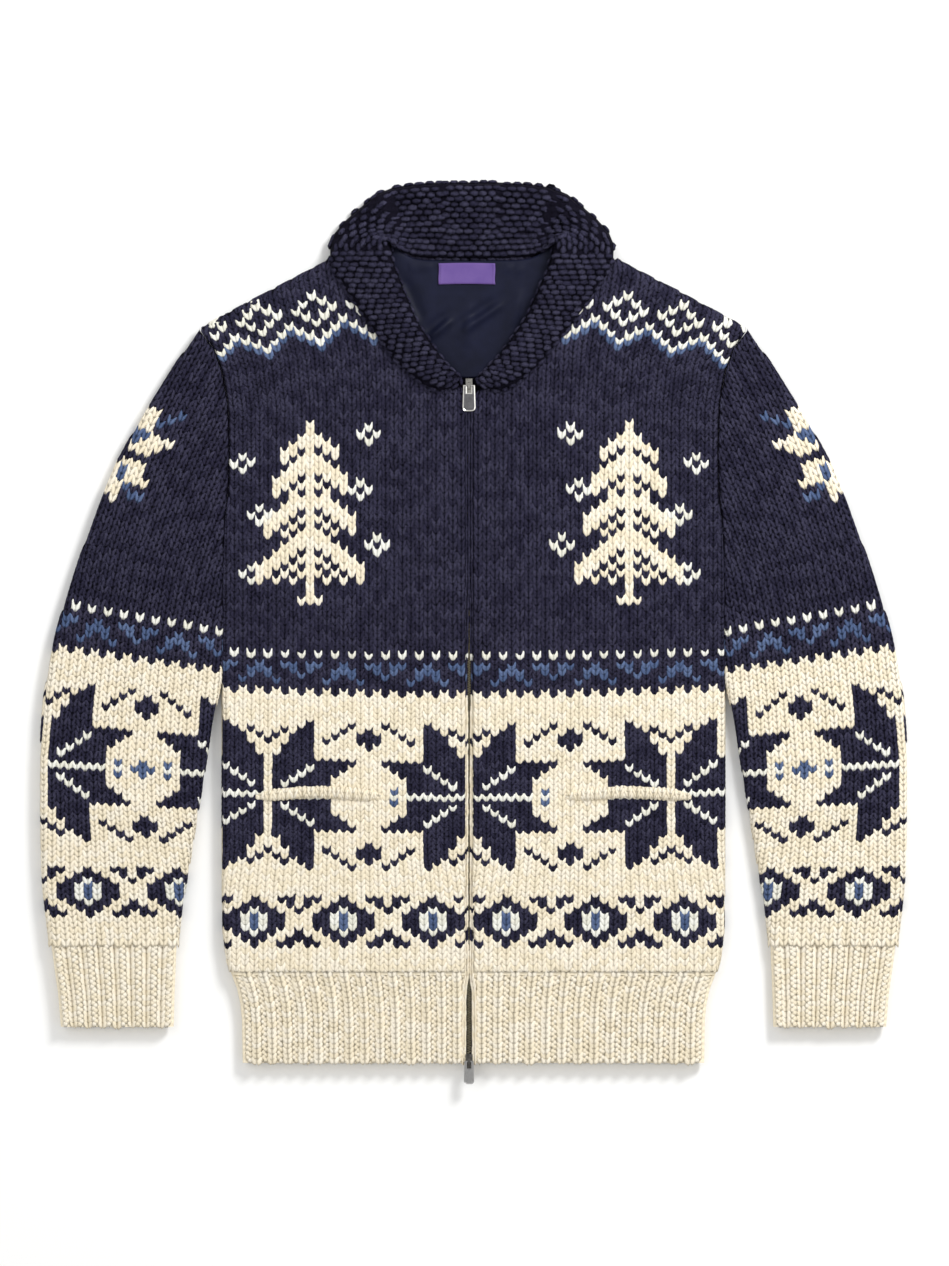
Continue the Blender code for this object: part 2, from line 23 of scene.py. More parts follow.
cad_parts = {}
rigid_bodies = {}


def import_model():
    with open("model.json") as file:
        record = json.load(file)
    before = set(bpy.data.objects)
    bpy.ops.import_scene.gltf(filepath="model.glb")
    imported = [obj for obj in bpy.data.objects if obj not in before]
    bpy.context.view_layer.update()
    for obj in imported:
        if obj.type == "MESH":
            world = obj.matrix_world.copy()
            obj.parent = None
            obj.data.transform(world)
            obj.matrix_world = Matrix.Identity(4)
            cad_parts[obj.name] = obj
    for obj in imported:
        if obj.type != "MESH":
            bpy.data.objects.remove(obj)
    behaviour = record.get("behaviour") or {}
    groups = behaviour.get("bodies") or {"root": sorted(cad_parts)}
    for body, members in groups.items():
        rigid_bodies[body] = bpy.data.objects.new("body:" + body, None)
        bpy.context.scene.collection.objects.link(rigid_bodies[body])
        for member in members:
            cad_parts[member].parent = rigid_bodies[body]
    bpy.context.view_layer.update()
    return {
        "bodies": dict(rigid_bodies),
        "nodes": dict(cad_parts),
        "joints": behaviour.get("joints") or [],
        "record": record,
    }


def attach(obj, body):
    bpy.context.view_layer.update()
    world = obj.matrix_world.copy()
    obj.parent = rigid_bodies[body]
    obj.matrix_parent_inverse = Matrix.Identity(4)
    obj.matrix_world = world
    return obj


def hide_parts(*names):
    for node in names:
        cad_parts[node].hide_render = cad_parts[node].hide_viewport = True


LOG = logging.getLogger("cardigan")
MM = 0.001

# The photograph is 949 x 1266 pixels, and one of its pixels is 0.9 mm of the garment.
PIXEL = 0.9
PHOTO_SIZE = (949, 1266)
PHOTO_MIDDLE = (473.5, 633.0)
PHOTO_AIM_X = 0.9

ZIP_X = -4.0
BODY_ROOT = "garment"


def linear(colour: str) -> tuple[float, float, float, float]:
    """Turns an sRGB hex colour to linear light.

    Args:
        colour: Six hex digits with a leading hash.

    Returns:
        Red, green, blue and a full alpha.
    """
    parts = [int(colour[k : k + 2], 16) / 255 for k in (1, 3, 5)]
    light = [c / 12.92 if c <= 0.04045 else ((c + 0.055) / 1.055) ** 2.4 for c in parts]
    return (light[0], light[1], light[2], 1.0)


def photo_mm(x: float, y: float) -> tuple[float, float]:
    """Turns a pixel of the photograph to millimetres on the garment.

    Args:
        x: Pixels from the photograph's left edge.
        y: Pixels from its top edge.

    Returns:
        The garment's X and Y.
    """
    return ((x - PHOTO_MIDDLE[0]) * PIXEL, (PHOTO_MIDDLE[1] - y) * PIXEL)


# --------------------------------------------------------------------------- finishes


def add_node(tree: bpy.types.NodeTree, kind: str, settings: dict, links: dict) -> bpy.types.Node:
    """Adds one node to a tree.

    Args:
        tree: The node tree.
        kind: The node's type name.
        settings: Attributes of the node, or values of its inputs where a key names an input.
        links: Output sockets for the inputs that are linked.

    Returns:
        The new node.
    """
    node = tree.nodes.new(kind)
    for key, value in settings.items():
        if isinstance(key, int) or key in node.inputs:
            node.inputs[key].default_value = value
        else:
            setattr(node, key, value)
    for key, socket in links.items():
        tree.links.new(socket, node.inputs[key])
    return node


def add_math(
    tree: bpy.types.NodeTree, operation: str, *terms: float | bpy.types.NodeSocket
) -> bpy.types.NodeSocket:
    """Adds one step of arithmetic.

    Args:
        tree: The node tree.
        operation: What is done with the terms.
        terms: Numbers and sockets.

    Returns:
        The socket that gives the result.
    """
    linked = {k: term for k, term in enumerate(terms) if isinstance(term, bpy.types.NodeSocket)}
    numbers = {k: term for k, term in enumerate(terms) if k not in linked}
    return add_node(tree, "ShaderNodeMath", {"operation": operation, **numbers}, linked).outputs[0]


def add_bump(
    tree: bpy.types.NodeTree,
    shader: bpy.types.Node,
    height: bpy.types.NodeSocket,
    strength: float,
    distance: float,
) -> None:
    """Lets a height shape the surface.

    Args:
        tree: The node tree.
        shader: The Principled shader.
        height: The socket that gives the height.
        strength: How strong it is.
        distance: How far a height of 1 stands off, in metres.
    """
    settings = {"Strength": strength, "Distance": distance}
    bump = add_node(tree, "ShaderNodeBump", settings, {"Height": height})
    tree.links.new(bump.outputs[0], shader.inputs["Normal"])


def start_material(name: str) -> tuple[bpy.types.Material, bpy.types.NodeTree, bpy.types.Node]:
    """Starts a material with a Principled shader.

    Args:
        name: The material's name.

    Returns:
        The material, its tree and its shader.
    """
    material = bpy.data.materials.new(name)
    material.use_nodes = True
    return material, material.node_tree, material.node_tree.nodes["Principled BSDF"]


def toned(colour: str, factor: float) -> tuple[float, float, float, float]:
    """A hex colour in linear light, made lighter or darker.

    Args:
        colour: The sRGB hex colour.
        factor: What its light is multiplied by.

    Returns:
        Red, green, blue and a full alpha.
    """
    red, green, blue, alpha = linear(colour)
    return (min(1.0, red * factor), min(1.0, green * factor), min(1.0, blue * factor), alpha)


@dataclass(frozen=True)
class WoolYarn:
    """Spun wool: dull and fuzzy, three plies twisted together, with painted shade at each leg's sides and
    tips, where two legs meet, and a painted highlight on its crown.
    """

    name: str
    colour: str
    # Painted shade at a leg's sides and tips, and a painted highlight on its crown: what the colour is
    # multiplied by there.
    painted_side_shade: float = 0.85
    painted_crown_highlight: float = 1.05
    roughness: float = 0.95
    sheen: float = 0.0
    ply_depth: float = 0.6
    # How strongly single fibres catch the light, and how many there are to a metre.
    fleck: float = 0.5
    fibres: float = 620.0

    def material(self) -> bpy.types.Material:
        """Makes the yarn: plies run slantwise round each stitch leg, with loose fibres over them. The
        colour is darkened at each leg's sides and tips as painted shade, and lightened on its crown and
        ply ridges as a painted highlight.

        Returns:
            The material.
        """
        material, tree, shader = start_material(self.name)
        shader.inputs["Roughness"].default_value = self.roughness
        shader.inputs["Sheen Weight"].default_value = self.sheen
        shader.inputs["Sheen Roughness"].default_value = 0.6
        shader.inputs["Specular IOR Level"].default_value = 0.04
        leg = add_node(tree, "ShaderNodeUVMap", {"uv_map": "Yarn"}, {})
        plies = add_node(
            tree,
            "ShaderNodeMapping",
            {"Rotation": (0.0, 0.0, 0.55), "Scale": (3.0, 5.0, 1.0)},
            {"Vector": leg.outputs[0]},
        )
        twist = add_node(
            tree,
            "ShaderNodeTexWave",
            {"Scale": 1.0, "Distortion": 2.0, "Detail": 2.0, "Detail Scale": 2.0},
            {"Vector": plies.outputs[0]},
        )
        crown = self.crown(tree, leg.outputs[0], twist.outputs["Fac"])
        spot = add_node(tree, "ShaderNodeTexCoord", {}, {})
        fibres = add_node(
            tree,
            "ShaderNodeTexNoise",
            {"Scale": self.fibres, "Detail": 3.0, "Roughness": 0.7},
            {"Vector": spot.outputs["Object"]},
        )
        flecked = add_math(tree, "MULTIPLY_ADD", fibres.outputs["Fac"], self.fleck, crown)
        light = add_math(tree, "SUBTRACT", flecked, self.fleck / 2)
        ramp = add_node(tree, "ShaderNodeValToRGB", {}, {"Fac": light})
        ramp.color_ramp.interpolation = "EASE"
        low, high = ramp.color_ramp.elements
        low.position, high.position = 0.1, 0.9
        low.color = toned(self.colour, self.painted_side_shade)
        high.color = toned(self.colour, self.painted_crown_highlight)
        tree.links.new(ramp.outputs["Color"], shader.inputs["Base Color"])
        add_bump(tree, shader, twist.outputs["Fac"], self.ply_depth, 0.0005)
        return material

    @staticmethod
    def crown(
        tree: bpy.types.NodeTree, leg: bpy.types.NodeSocket, plies: bpy.types.NodeSocket
    ) -> bpy.types.NodeSocket:
        """Works out the painted light on a leg: 1 on its crown, where the painted highlight is, and 0 at
        its sides and tips, where the painted shade is.

        Args:
            tree: The material's nodes.
            leg: The leg's own coordinates, round it and along it.
            plies: The twist, which breaks up the crown, so that the ply ridges take the painted highlight
                too.

        Returns:
            The socket that gives it.
        """
        parts = add_node(tree, "ShaderNodeSeparateXYZ", {}, {"Vector": leg})
        waves = []
        for number, turn in ((0, 2 * math.pi), (1, math.pi)):
            angle = add_math(tree, "MULTIPLY", parts.outputs[number], turn)
            waves.append(add_math(tree, "SINE", angle))
        full = add_math(tree, "MULTIPLY", *waves)
        part = add_math(tree, "MULTIPLY", plies, 0.55)
        return add_math(tree, "MULTIPLY_ADD", full, 0.52, part)


class Yarn(Enum):
    """The four yarns of the charts."""

    NAVY = "navy"
    CREAM = "cream"
    WHITE = "white"
    BLUE = "blue"


# Shades of each yarn, as one ball differs along its length, and the shadow between its stitches.
YARN_SHADES: dict[Yarn, tuple[str, ...]] = {
    Yarn.NAVY: ("#22212f", "#1e1d2b", "#262534", "#2a2938"),
    Yarn.CREAM: ("#f5ead3", "#f0e4ca", "#f7eedb"),
    Yarn.WHITE: ("#f0efe6", "#e9e7da"),
    Yarn.BLUE: ("#5a6a8c", "#4d5d7f"),
}
# Painted shade at a leg's sides and tips, and painted highlight on its crown, as factors on the yarn's
# colour.
YARN_PAINTED_LIGHT: dict[Yarn, tuple[float, float]] = {
    Yarn.NAVY: (0.02, 2.15),
    Yarn.CREAM: (0.97, 1.05),
    Yarn.WHITE: (0.94, 1.05),
    Yarn.BLUE: (0.35, 1.25),
}
# How far single fibres stand out: pale ones do in the heathered navy, and hardly in the cream.
YARN_FLECKS = {Yarn.NAVY: 1.9, Yarn.CREAM: 0.4, Yarn.WHITE: 0.4, Yarn.BLUE: 1.2}
YARN_SHADOWS: dict[Yarn, str] = {
    Yarn.NAVY: "#08070e",
    Yarn.CREAM: "#ecdfc3",
    Yarn.WHITE: "#dcd5c3",
    Yarn.BLUE: "#152340",
}


CREAM_PLACE = list(Yarn).index(Yarn.CREAM)


class YarnBox:
    """All yarn materials, made once and given to each knitted piece in the same order."""

    def __init__(self) -> None:
        """Makes a material for each shade and each shadow."""
        self.first: dict[Yarn, int] = {}
        self.shadow: dict[Yarn, int] = {}
        self.materials: list[bpy.types.Material] = []
        for yarn, shades in YARN_SHADES.items():
            self.first[yarn] = len(self.materials)
            for number, shade in enumerate(shades, 1):
                wool = WoolYarn(
                    f"{yarn.value}_wool_yarn_{number}", shade, *YARN_PAINTED_LIGHT[yarn], fleck=YARN_FLECKS[yarn]
                )
                self.materials.append(wool.material())
            self.shadow[yarn] = len(self.materials)
            shadow = WoolYarn(f"{yarn.value}_wool_shadow", YARN_SHADOWS[yarn])
            self.materials.append(shadow.material())

    def shades(self, yarns: np.ndarray, chance: np.random.Generator) -> np.ndarray:
        """Picks a shade for each stitch.

        Args:
            yarns: The place of each stitch's yarn in the Yarn enum.
            chance: The seeded source of the picks.

        Returns:
            Material numbers.
        """
        kinds = list(Yarn)
        first = np.array([self.first[yarn] for yarn in kinds])[yarns]
        count = np.array([len(YARN_SHADES[yarn]) for yarn in kinds])[yarns]
        return first + (chance.random(len(yarns)) * count).astype(int)

    def shadows(self, yarns: np.ndarray) -> np.ndarray:
        """The shadow material of each stitch's yarn."""
        return np.array([self.shadow[yarn] for yarn in Yarn])[yarns]


# --------------------------------------------------------------------------- surfaces


def solid_tree(mesh: bpy.types.Mesh) -> BVHTree:
    """Makes a solid's faces ready for casting rays at, in mm."""
    points = [v.co / MM for v in mesh.vertices]
    return BVHTree.FromPolygons(points, [tuple(p.vertices) for p in mesh.polygons])


class ClothFace:
    """The upper or the under face of a solid that lies flat, measured along its own cross-sections.

    A place is given as (s, y). In the flat middle s is the garment's X, and towards a rolled edge s
    runs on round the roll, as the cloth does.
    """

    STEP = 4.0
    GRID = 1.0

    def __init__(
        self,
        node: str,
        upper: bool = True,
        rolled: bool = True,
        sewn: tuple[float, float] = (0.0, 0.0),
    ) -> None:
        """Measures the face.

        Args:
            node: The solid's name.
            upper: Whether this is the face that looks up.
            rolled: Whether s runs round the rolled edges. Otherwise it is X all over.
            sewn: How far from its low and its high end stitches keep their height, to meet a seam.
        """
        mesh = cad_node(node).data
        self.node = node
        self.upper = upper
        self.rolled = rolled
        self.sewn = sewn
        self.points = np.array([v.co for v in mesh.vertices]) / MM
        self.edges = np.array([e.vertices for e in mesh.edges])
        self.tree = solid_tree(mesh)
        low, high = self.points[:, 1].min() + 0.05, self.points[:, 1].max() - 0.05
        self.ys = np.linspace(low, high, max(3, int((high - low) / self.STEP) + 2))
        rows = [self.section(y) for y in self.ys]
        self.starts = np.array([row[0][0] for row in rows])
        self.ends = np.array([row[0][-1] for row in rows])
        self.grid = np.arange(self.starts.min() - 2, self.ends.max() + 3, self.GRID)
        self.xs = np.array([np.interp(self.grid, row[0], row[1]) for row in rows])
        self.zs = np.array([np.interp(self.grid, row[0], row[2]) for row in rows])
        self.normals = self.face_normals()

    def section(self, y: float) -> tuple[np.ndarray, np.ndarray, np.ndarray]:
        """Cuts the solid across at one Y.

        Args:
            y: Where it is cut. In the middle of the cut, s is X.

        Returns:
            s, X and Z of points across the face.
        """
        a, b = self.points[self.edges[:, 0]], self.points[self.edges[:, 1]]
        crossed = (a[:, 1] - y) * (b[:, 1] - y) <= 0
        a, b = a[crossed], b[crossed]
        rise = np.where(np.abs(b[:, 1] - a[:, 1]) < 1e-9, 1.0, b[:, 1] - a[:, 1])
        share = np.clip((y - a[:, 1]) / rise, 0, 1)
        across = a[:, 0] + (b[:, 0] - a[:, 0]) * share
        left, right = across.min() + 0.04, across.max() - 0.04
        steps = 0.5 - 0.5 * np.cos(np.linspace(0, math.pi, 60 if self.rolled else 240))
        xs = left + (right - left) * steps
        sky = 60.0 if self.upper else -60.0
        zs = []
        for x in xs:
            hit = self.tree.ray_cast(Vector((x, y, sky)), Vector((0, 0, -math.copysign(1, sky))))
            zs.append(hit[0].z if hit[0] else math.nan)
        zs = np.array(zs)
        good = ~np.isnan(zs)
        xs, zs = xs[good], zs[good]
        if not self.rolled:
            return xs, xs, zs
        along = np.concatenate([[0.0], np.cumsum(np.hypot(np.diff(xs), np.diff(zs)))])
        middle = (left + right) / 2
        return along - np.interp(middle, xs, along) + middle, xs, zs

    def face_normals(self) -> np.ndarray:
        """Outward directions on the grid, kept level past the edges.

        Returns:
            A direction for each point of the grid.
        """
        dx_s, dz_s = np.gradient(self.xs, axis=1), np.gradient(self.zs, axis=1)
        dx_y = np.gradient(self.xs, self.ys, axis=0)
        dz_y = np.gradient(self.zs, self.ys, axis=0)
        along_s = np.stack([dx_s, np.zeros_like(dx_s), dz_s], axis=-1)
        along_y = np.stack([dx_y, np.ones_like(dx_y), dz_y], axis=-1)
        normals = np.cross(along_s, along_y)
        if not self.upper:
            normals = -normals
        length = np.linalg.norm(normals, axis=-1, keepdims=True)
        normals = normals / np.maximum(length, 1e-9)
        for row in range(len(self.ys)):
            inside = np.flatnonzero(
                (self.grid >= self.starts[row] + 0.5) & (self.grid <= self.ends[row] - 0.5)
            )
            if len(inside) < 3:
                normals[row] = (0.0, 0.0, 1.0 if self.upper else -1.0)
                continue
            normals[row, : inside[0]] = normals[row, inside[0]]
            normals[row, inside[-1] + 1 :] = normals[row, inside[-1]]
        return normals

    def mix(self, table: np.ndarray, s: np.ndarray, y: np.ndarray) -> np.ndarray:
        """Reads a table of the grid at places between its points.

        Args:
            table: One value or point for each point of the grid.
            s: Places across.
            y: Places along.

        Returns:
            The table's values there.
        """
        column = np.clip((s - self.grid[0]) / self.GRID, 0, len(self.grid) - 1.001)
        row = np.clip(np.interp(y, self.ys, np.arange(len(self.ys))), 0, len(self.ys) - 1.001)
        c, r = column.astype(int), row.astype(int)
        fc, fr = column - c, row - r
        if table.ndim == 3:
            fc, fr = fc[:, None], fr[:, None]
        top = table[r, c] * (1 - fc) + table[r, c + 1] * fc
        bottom = table[r + 1, c] * (1 - fc) + table[r + 1, c + 1] * fc
        return top * (1 - fr) + bottom * fr

    def place(self, s: np.ndarray, y: np.ndarray, height: np.ndarray) -> np.ndarray:
        """Puts points on the face.

        Args:
            s: Places across.
            y: Places along.
            height: How far each point stands off the face.

        Returns:
            Points in millimetres.
        """
        held = np.clip(y, self.ys[0] + self.sewn[0], self.ys[-1] - self.sewn[1])
        on_face = np.stack([self.mix(self.xs, s, held), y, self.mix(self.zs, s, held)], axis=-1)
        return on_face + self.mix(self.normals, s, held) * height[:, None]

    def holds(self, s: np.ndarray, y: np.ndarray, spare: float = 0.0) -> np.ndarray:
        """Which places lie on the face, with some to spare inside its edges.

        Args:
            s: Places across.
            y: Places along.
            spare: How far inside the edges they have to be.

        Returns:
            True for each place that does.
        """
        left = np.interp(y, self.ys, self.starts) + spare
        right = np.interp(y, self.ys, self.ends) - spare
        return (s > left) & (s < right) & (y > self.ys[0]) & (y < self.ys[-1])


class DropFace:
    """The upper face of a small solid, met by dropping each point on it. s is X all over."""

    def __init__(self, node: str, upper: bool = True) -> None:
        """Keeps the solid's faces for casting rays.

        Args:
            node: The solid's node.
            upper: Whether this is the face that looks up.
        """
        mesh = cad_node(node).data
        self.upper = upper
        self.tree = solid_tree(mesh)

    def touch(self, x: float, y: float) -> tuple[np.ndarray, np.ndarray] | None:
        """The point of the face at a place, with its normal, or None beside the solid.

        Args:
            x: Millimetres across.
            y: Millimetres along.

        Returns:
            The point and the normal.
        """
        sky = 90.0 if self.upper else -90.0
        hit = self.tree.ray_cast(Vector((x, y, sky)), Vector((0, 0, -math.copysign(1, sky))))
        return None if hit[0] is None else (np.array(hit[0]), np.array(hit[1]))

    def place(self, s: np.ndarray, y: np.ndarray, height: np.ndarray) -> np.ndarray:
        """Puts points on the face, or at the nearest place of the solid beside it.

        Args:
            s: Places across.
            y: Places along.
            height: How far each point stands off the face.

        Returns:
            Points in millimetres.
        """
        rows = []
        for x, up, lift in zip(s, y, height):
            found = self.touch(x, up)
            if found is None:
                near = self.tree.find_nearest(Vector((x, up, 8.0)))
                found = (np.array(near[0]), np.array(near[1]))
            rows.append(found[0] + found[1] * lift)
        return np.array(rows)


FRAME: dict = {}


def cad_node(name: str) -> bpy.types.Object:
    """The object of a CAD node."""
    return FRAME["nodes"][name]


class Cover:
    """A solid that lies over another one and hides its stitches."""

    def __init__(self, node: str) -> None:
        """Keeps the solid's faces for casting rays.

        Args:
            node: The solid's node.
        """
        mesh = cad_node(node).data
        self.tree = solid_tree(mesh)

    def hides(self, x: float, y: float, margin: float) -> bool:
        """Whether a place and all places round it lie under the solid.

        Args:
            x: Millimetres across.
            y: Millimetres along.
            margin: How far round the place to look.

        Returns:
            True if they all do.
        """
        for dx, dy in ((0, 0), (margin, 0), (-margin, 0), (0, margin), (0, -margin)):
            hit = self.tree.ray_cast(Vector((x + dx, y + dy, 90.0)), Vector((0, 0, -1)))
            if hit[0] is None:
                return False
        return True


# --------------------------------------------------------------------------- stitches


@dataclass(frozen=True)
class Mould:
    """One small closed shape that is copied many times: its points, faces and face corners' UVs."""

    points: np.ndarray
    faces: list[tuple[int, ...]]
    uvs: list[np.ndarray]


# How full a grain stays towards its tips: 1 is an ellipse, and 0 a bar.
GRAIN_BLUNTNESS = 0.78


def grain_mould(rings: int) -> Mould:
    """Models a grain of yarn, a four-sided spindle along Y.

    Args:
        rings: Rings of points between its two tips, which set how fine it is.

    Returns:
        The spindle, one unit long and wide each way from its middle.
    """
    deselect_all()
    bpy.ops.mesh.primitive_uv_sphere_add(segments=4, ring_count=rings + 1, radius=1.0)
    grain = bpy.context.active_object
    bpy.ops.object.mode_set(mode="EDIT")
    bpy.ops.mesh.select_all(action="SELECT")
    bpy.ops.transform.rotate(value=math.pi / 2, orient_axis="X", center_override=(0, 0, 0))
    bpy.ops.mesh.normals_make_consistent(inside=False)
    bpy.ops.object.mode_set(mode="OBJECT")
    mesh = grain.data
    points = np.array([v.co for v in mesh.vertices])
    radius = np.maximum(np.hypot(points[:, 0], points[:, 2]), 1e-3)[:, None]
    points[:, (0, 2)] *= radius ** (GRAIN_BLUNTNESS - 1)
    faces = [tuple(p.vertices) for p in mesh.polygons]
    layer = mesh.uv_layers.active.data
    uvs = [np.array([layer[k].uv for k in p.loop_indices]) for p in mesh.polygons]
    bpy.data.objects.remove(grain, do_unlink=True)
    return Mould(points, faces, uvs)


def deselect_all() -> None:
    """Deselects every object, because an operator acts on all that is selected."""
    if bpy.context.mode != "OBJECT":
        bpy.ops.object.mode_set(mode="OBJECT")
    bpy.ops.object.select_all(action="DESELECT")
    bpy.context.view_layer.objects.active = None


def thicken(sheet: bpy.types.Object, thickness: float, offset: float) -> None:
    """Gives the active sheet its thickness and smooth shading.

    Args:
        sheet: The sheet.
        thickness: Its thickness in mm.
        offset: -1 where it grows inwards only, and 0 where it grows both ways.
    """
    thick = sheet.modifiers.new("cloth", "SOLIDIFY")
    thick.thickness = thickness * MM
    thick.offset = offset
    bpy.ops.object.modifier_apply(modifier="cloth")
    bpy.ops.object.shade_smooth()


@dataclass(frozen=True)
class LegShape:
    """How a spindle becomes one leg of a V stitch, in stitch widths, row heights and millimetres."""

    foot: float = 0.09
    tip: float = 0.4
    half_length: float = 0.97
    half_width: float = 0.35
    half_depth: float = 0.8
    lift: float = 0.75
    lean: float = 0.35
    taper: float = 0.22

    def bend(self, points: np.ndarray, side: int) -> np.ndarray:
        """Shapes the spindle.

        Args:
            points: The spindle's points.
            side: -1 for the left leg, +1 for the right one.

        Returns:
            Places in stitch widths and row heights from the stitch's middle, and heights in mm.
        """
        along = points[:, 1]
        middle = (self.foot + self.tip) / 2 + (self.tip - self.foot) / 2 * along
        middle = middle + 0.035 * np.cos(along * math.pi / 2)
        x = side * (middle + points[:, 0] * self.half_width * (1 + self.taper * along))
        y = along * self.half_length
        z = self.lift + points[:, 2] * self.half_depth - self.lean * along
        return np.stack([x, y, z], axis=-1)


@dataclass
class StitchSet:
    """Stitches laid on one face: where each one's middle is in wales and courses, and its yarn."""

    wales: np.ndarray
    courses: np.ndarray
    yarns: np.ndarray


class MeshHeap:
    """Gathers many copies of small shapes and makes them one mesh."""

    def __init__(self) -> None:
        """Starts with no points."""
        self.points: list[np.ndarray] = []
        self.faces: list[tuple[int, ...]] = []
        self.slots: list[np.ndarray] = []
        self.corner_slots: list[np.ndarray] = []
        self.uvs: list[np.ndarray] = []
        self.count = 0

    def add_copies(
        self, mould: Mould, points: np.ndarray, slots: np.ndarray, facing: float = 1.0
    ) -> None:
        """Adds copies of one mould, with their faces outwards.

        Args:
            mould: The shape whose faces are copied.
            points: The points of all copies, as copies by points by three, in mm.
            slots: The material number of each copy.
            facing: +1 where an open mould looks up, -1 where it looks down.
        """
        copies, size = points.shape[:2]
        if copies == 0:
            return
        turned = self.is_inside_out(mould, points, facing)
        faces = [face[::-1] for face in mould.faces] if turned else mould.faces
        uvs = [uv[::-1] for uv in mould.uvs] if turned else mould.uvs
        corners = np.concatenate([np.array(face) for face in faces])
        lengths = np.array([len(face) for face in faces])
        starts = self.count + np.arange(copies)[:, None] * size
        flat = (corners[None, :] + starts).tolist()
        cuts = np.concatenate([[0], np.cumsum(lengths)])
        spans = list(zip(cuts[:-1].tolist(), cuts[1:].tolist()))
        for row in flat:
            self.faces.extend(tuple(row[a:b]) for a, b in spans)
        self.points.append(points.reshape(-1, 3))
        self.slots.append(np.repeat(slots, len(faces)))
        self.corner_slots.append(np.repeat(slots, len(corners)))
        self.uvs.append(np.tile(np.concatenate(uvs), (copies, 1)))
        self.count += copies * size

    @staticmethod
    def is_inside_out(mould: Mould, points: np.ndarray, facing: float) -> bool:
        """Whether placing the mould has mirrored it, so that its faces point inwards.

        Args:
            mould: The shape.
            points: Its placed copies.
            facing: The side that an open mould looks to.

        Returns:
            True where the faces have to be turned round.
        """
        corners = np.array([face[:3] for face in mould.faces])
        a, b, c = (points[:, corners[:, k]] for k in range(3))
        normals = np.cross(b - a, c - a)
        if len(mould.faces) == 1:
            return float(normals[..., 2].sum()) * facing < 0
        outwards = (a + b + c) / 3 - points.mean(axis=1, keepdims=True)
        return float((normals * outwards).sum()) < 0

    def build(self, name: str, materials: Sequence[bpy.types.Material]) -> bpy.types.Object:
        """Makes the mesh object.

        Args:
            name: The piece's name.
            materials: Its material slots.

        Returns:
            The piece.
        """
        mesh = bpy.data.meshes.new(name)
        points = np.concatenate(self.points) * MM
        mesh.from_pydata(points.tolist(), [], self.faces)
        slots = np.concatenate(self.slots)
        used = sorted(set(slots.tolist()))
        for slot in used:
            mesh.materials.append(materials[slot])
        renumber = np.zeros(max(used) + 1, int)
        renumber[used] = np.arange(len(used))
        mesh.polygons.foreach_set("material_index", renumber[slots].astype(np.int32))
        mesh.polygons.foreach_set("use_smooth", np.ones(len(mesh.polygons), bool))
        yarn_uv = np.concatenate(self.uvs)
        mesh.uv_layers.new(name="Yarn").data.foreach_set("uv", yarn_uv.ravel())
        # Each yarn has its own tile of a second UV map, OFBake.
        tiles = math.ceil(math.sqrt(len(used)))
        tile = renumber[np.concatenate(self.corner_slots)]
        corner = np.stack([tile % tiles, tile // tiles], axis=-1)
        bake_uv = (corner + 0.04 + 0.92 * np.clip(yarn_uv, 0, 1)) / tiles
        mesh.uv_layers.new(name="OFBake").data.foreach_set("uv", bake_uv.ravel())
        mesh.update()
        piece = bpy.data.objects.new(name, mesh)
        bpy.context.scene.collection.objects.link(piece)
        return piece


Face = ClothFace | DropFace
Lattice = Callable[[np.ndarray, np.ndarray], tuple[np.ndarray, np.ndarray]]
# A flat square under each stitch, which takes its yarn's painted shadow colour.
SHADOW_SQUARE = Mould(
    np.array([(-0.5, -0.5, 0.0), (0.5, -0.5, 0.0), (0.5, 0.5, 0.0), (-0.5, 0.5, 0.0)]),
    [(0, 1, 2, 3)],
    [np.array([(0, 0), (1, 0), (1, 1), (0, 1)])],
)


@dataclass
class Knitter:
    """Lays V stitches on a face."""

    yarn_box: YarnBox
    leg: LegShape = field(default_factory=LegShape)
    rings: int = 3
    seed: int = 7

    def lay(
        self,
        heap: MeshHeap,
        face: Face,
        lattice: Lattice,
        stitches: StitchSet,
        legs: Sequence[int] = (-1, 1),
    ) -> None:
        """Adds the stitches' legs and the shadow under them to a heap.

        Args:
            heap: Takes the copies.
            face: The cloth face they lie on.
            lattice: Turns (wale, course) to (s, y) in mm.
            stitches: Which stitches are laid.
            legs: Which legs are laid, -1 for the left ones and +1 for the right ones.
        """
        chance = np.random.default_rng(self.seed)
        count = len(stitches.wales)
        drift = chance.normal(0, 1, (count, 4))
        mould = grain_mould(self.rings)
        slots = self.yarn_box.shades(stitches.yarns, chance)
        for side in legs:
            shape = self.leg.bend(mould.points, side)
            size = 1 + 0.06 * drift[:, 2:3] + 0.03 * side * drift[:, 3:4]
            wales = stitches.wales[:, None] + shape[None, :, 0] * size + 0.018 * drift[:, 0:1]
            courses = stitches.courses[:, None] + shape[None, :, 1] * size + 0.045 * drift[:, 1:2]
            heights = np.broadcast_to(shape[None, :, 2], wales.shape)
            points = self.on_face(face, lattice, wales, courses, heights)
            heap.add_copies(mould, points, slots)
        if len(legs) < 2:
            return
        wales = stitches.wales[:, None] + SHADOW_SQUARE.points[None, :, 0] * 1.02
        courses = stitches.courses[:, None] + SHADOW_SQUARE.points[None, :, 1] * 1.04 - 0.1
        points = self.on_face(face, lattice, wales, courses, np.full(wales.shape, 0.12))
        facing = 1.0 if face.upper else -1.0
        heap.add_copies(SHADOW_SQUARE, points, self.yarn_box.shadows(stitches.yarns), facing)

    @staticmethod
    def on_face(
        face: Face, lattice: Lattice, wales: np.ndarray, courses: np.ndarray, heights: np.ndarray
    ) -> np.ndarray:
        """Puts lattice places on a face.

        Args:
            face: The cloth face.
            lattice: Turns (wale, course) to (s, y).
            wales: Wale of each point.
            courses: Course of each point.
            heights: Height of each point over the face, in mm.

        Returns:
            Points in mm, with the shape of wales and three more columns.
        """
        s, y = lattice(wales.ravel(), courses.ravel())
        return face.place(s, y, heights.ravel()).reshape(*wales.shape, 3)


# --------------------------------------------------------------------------- charts


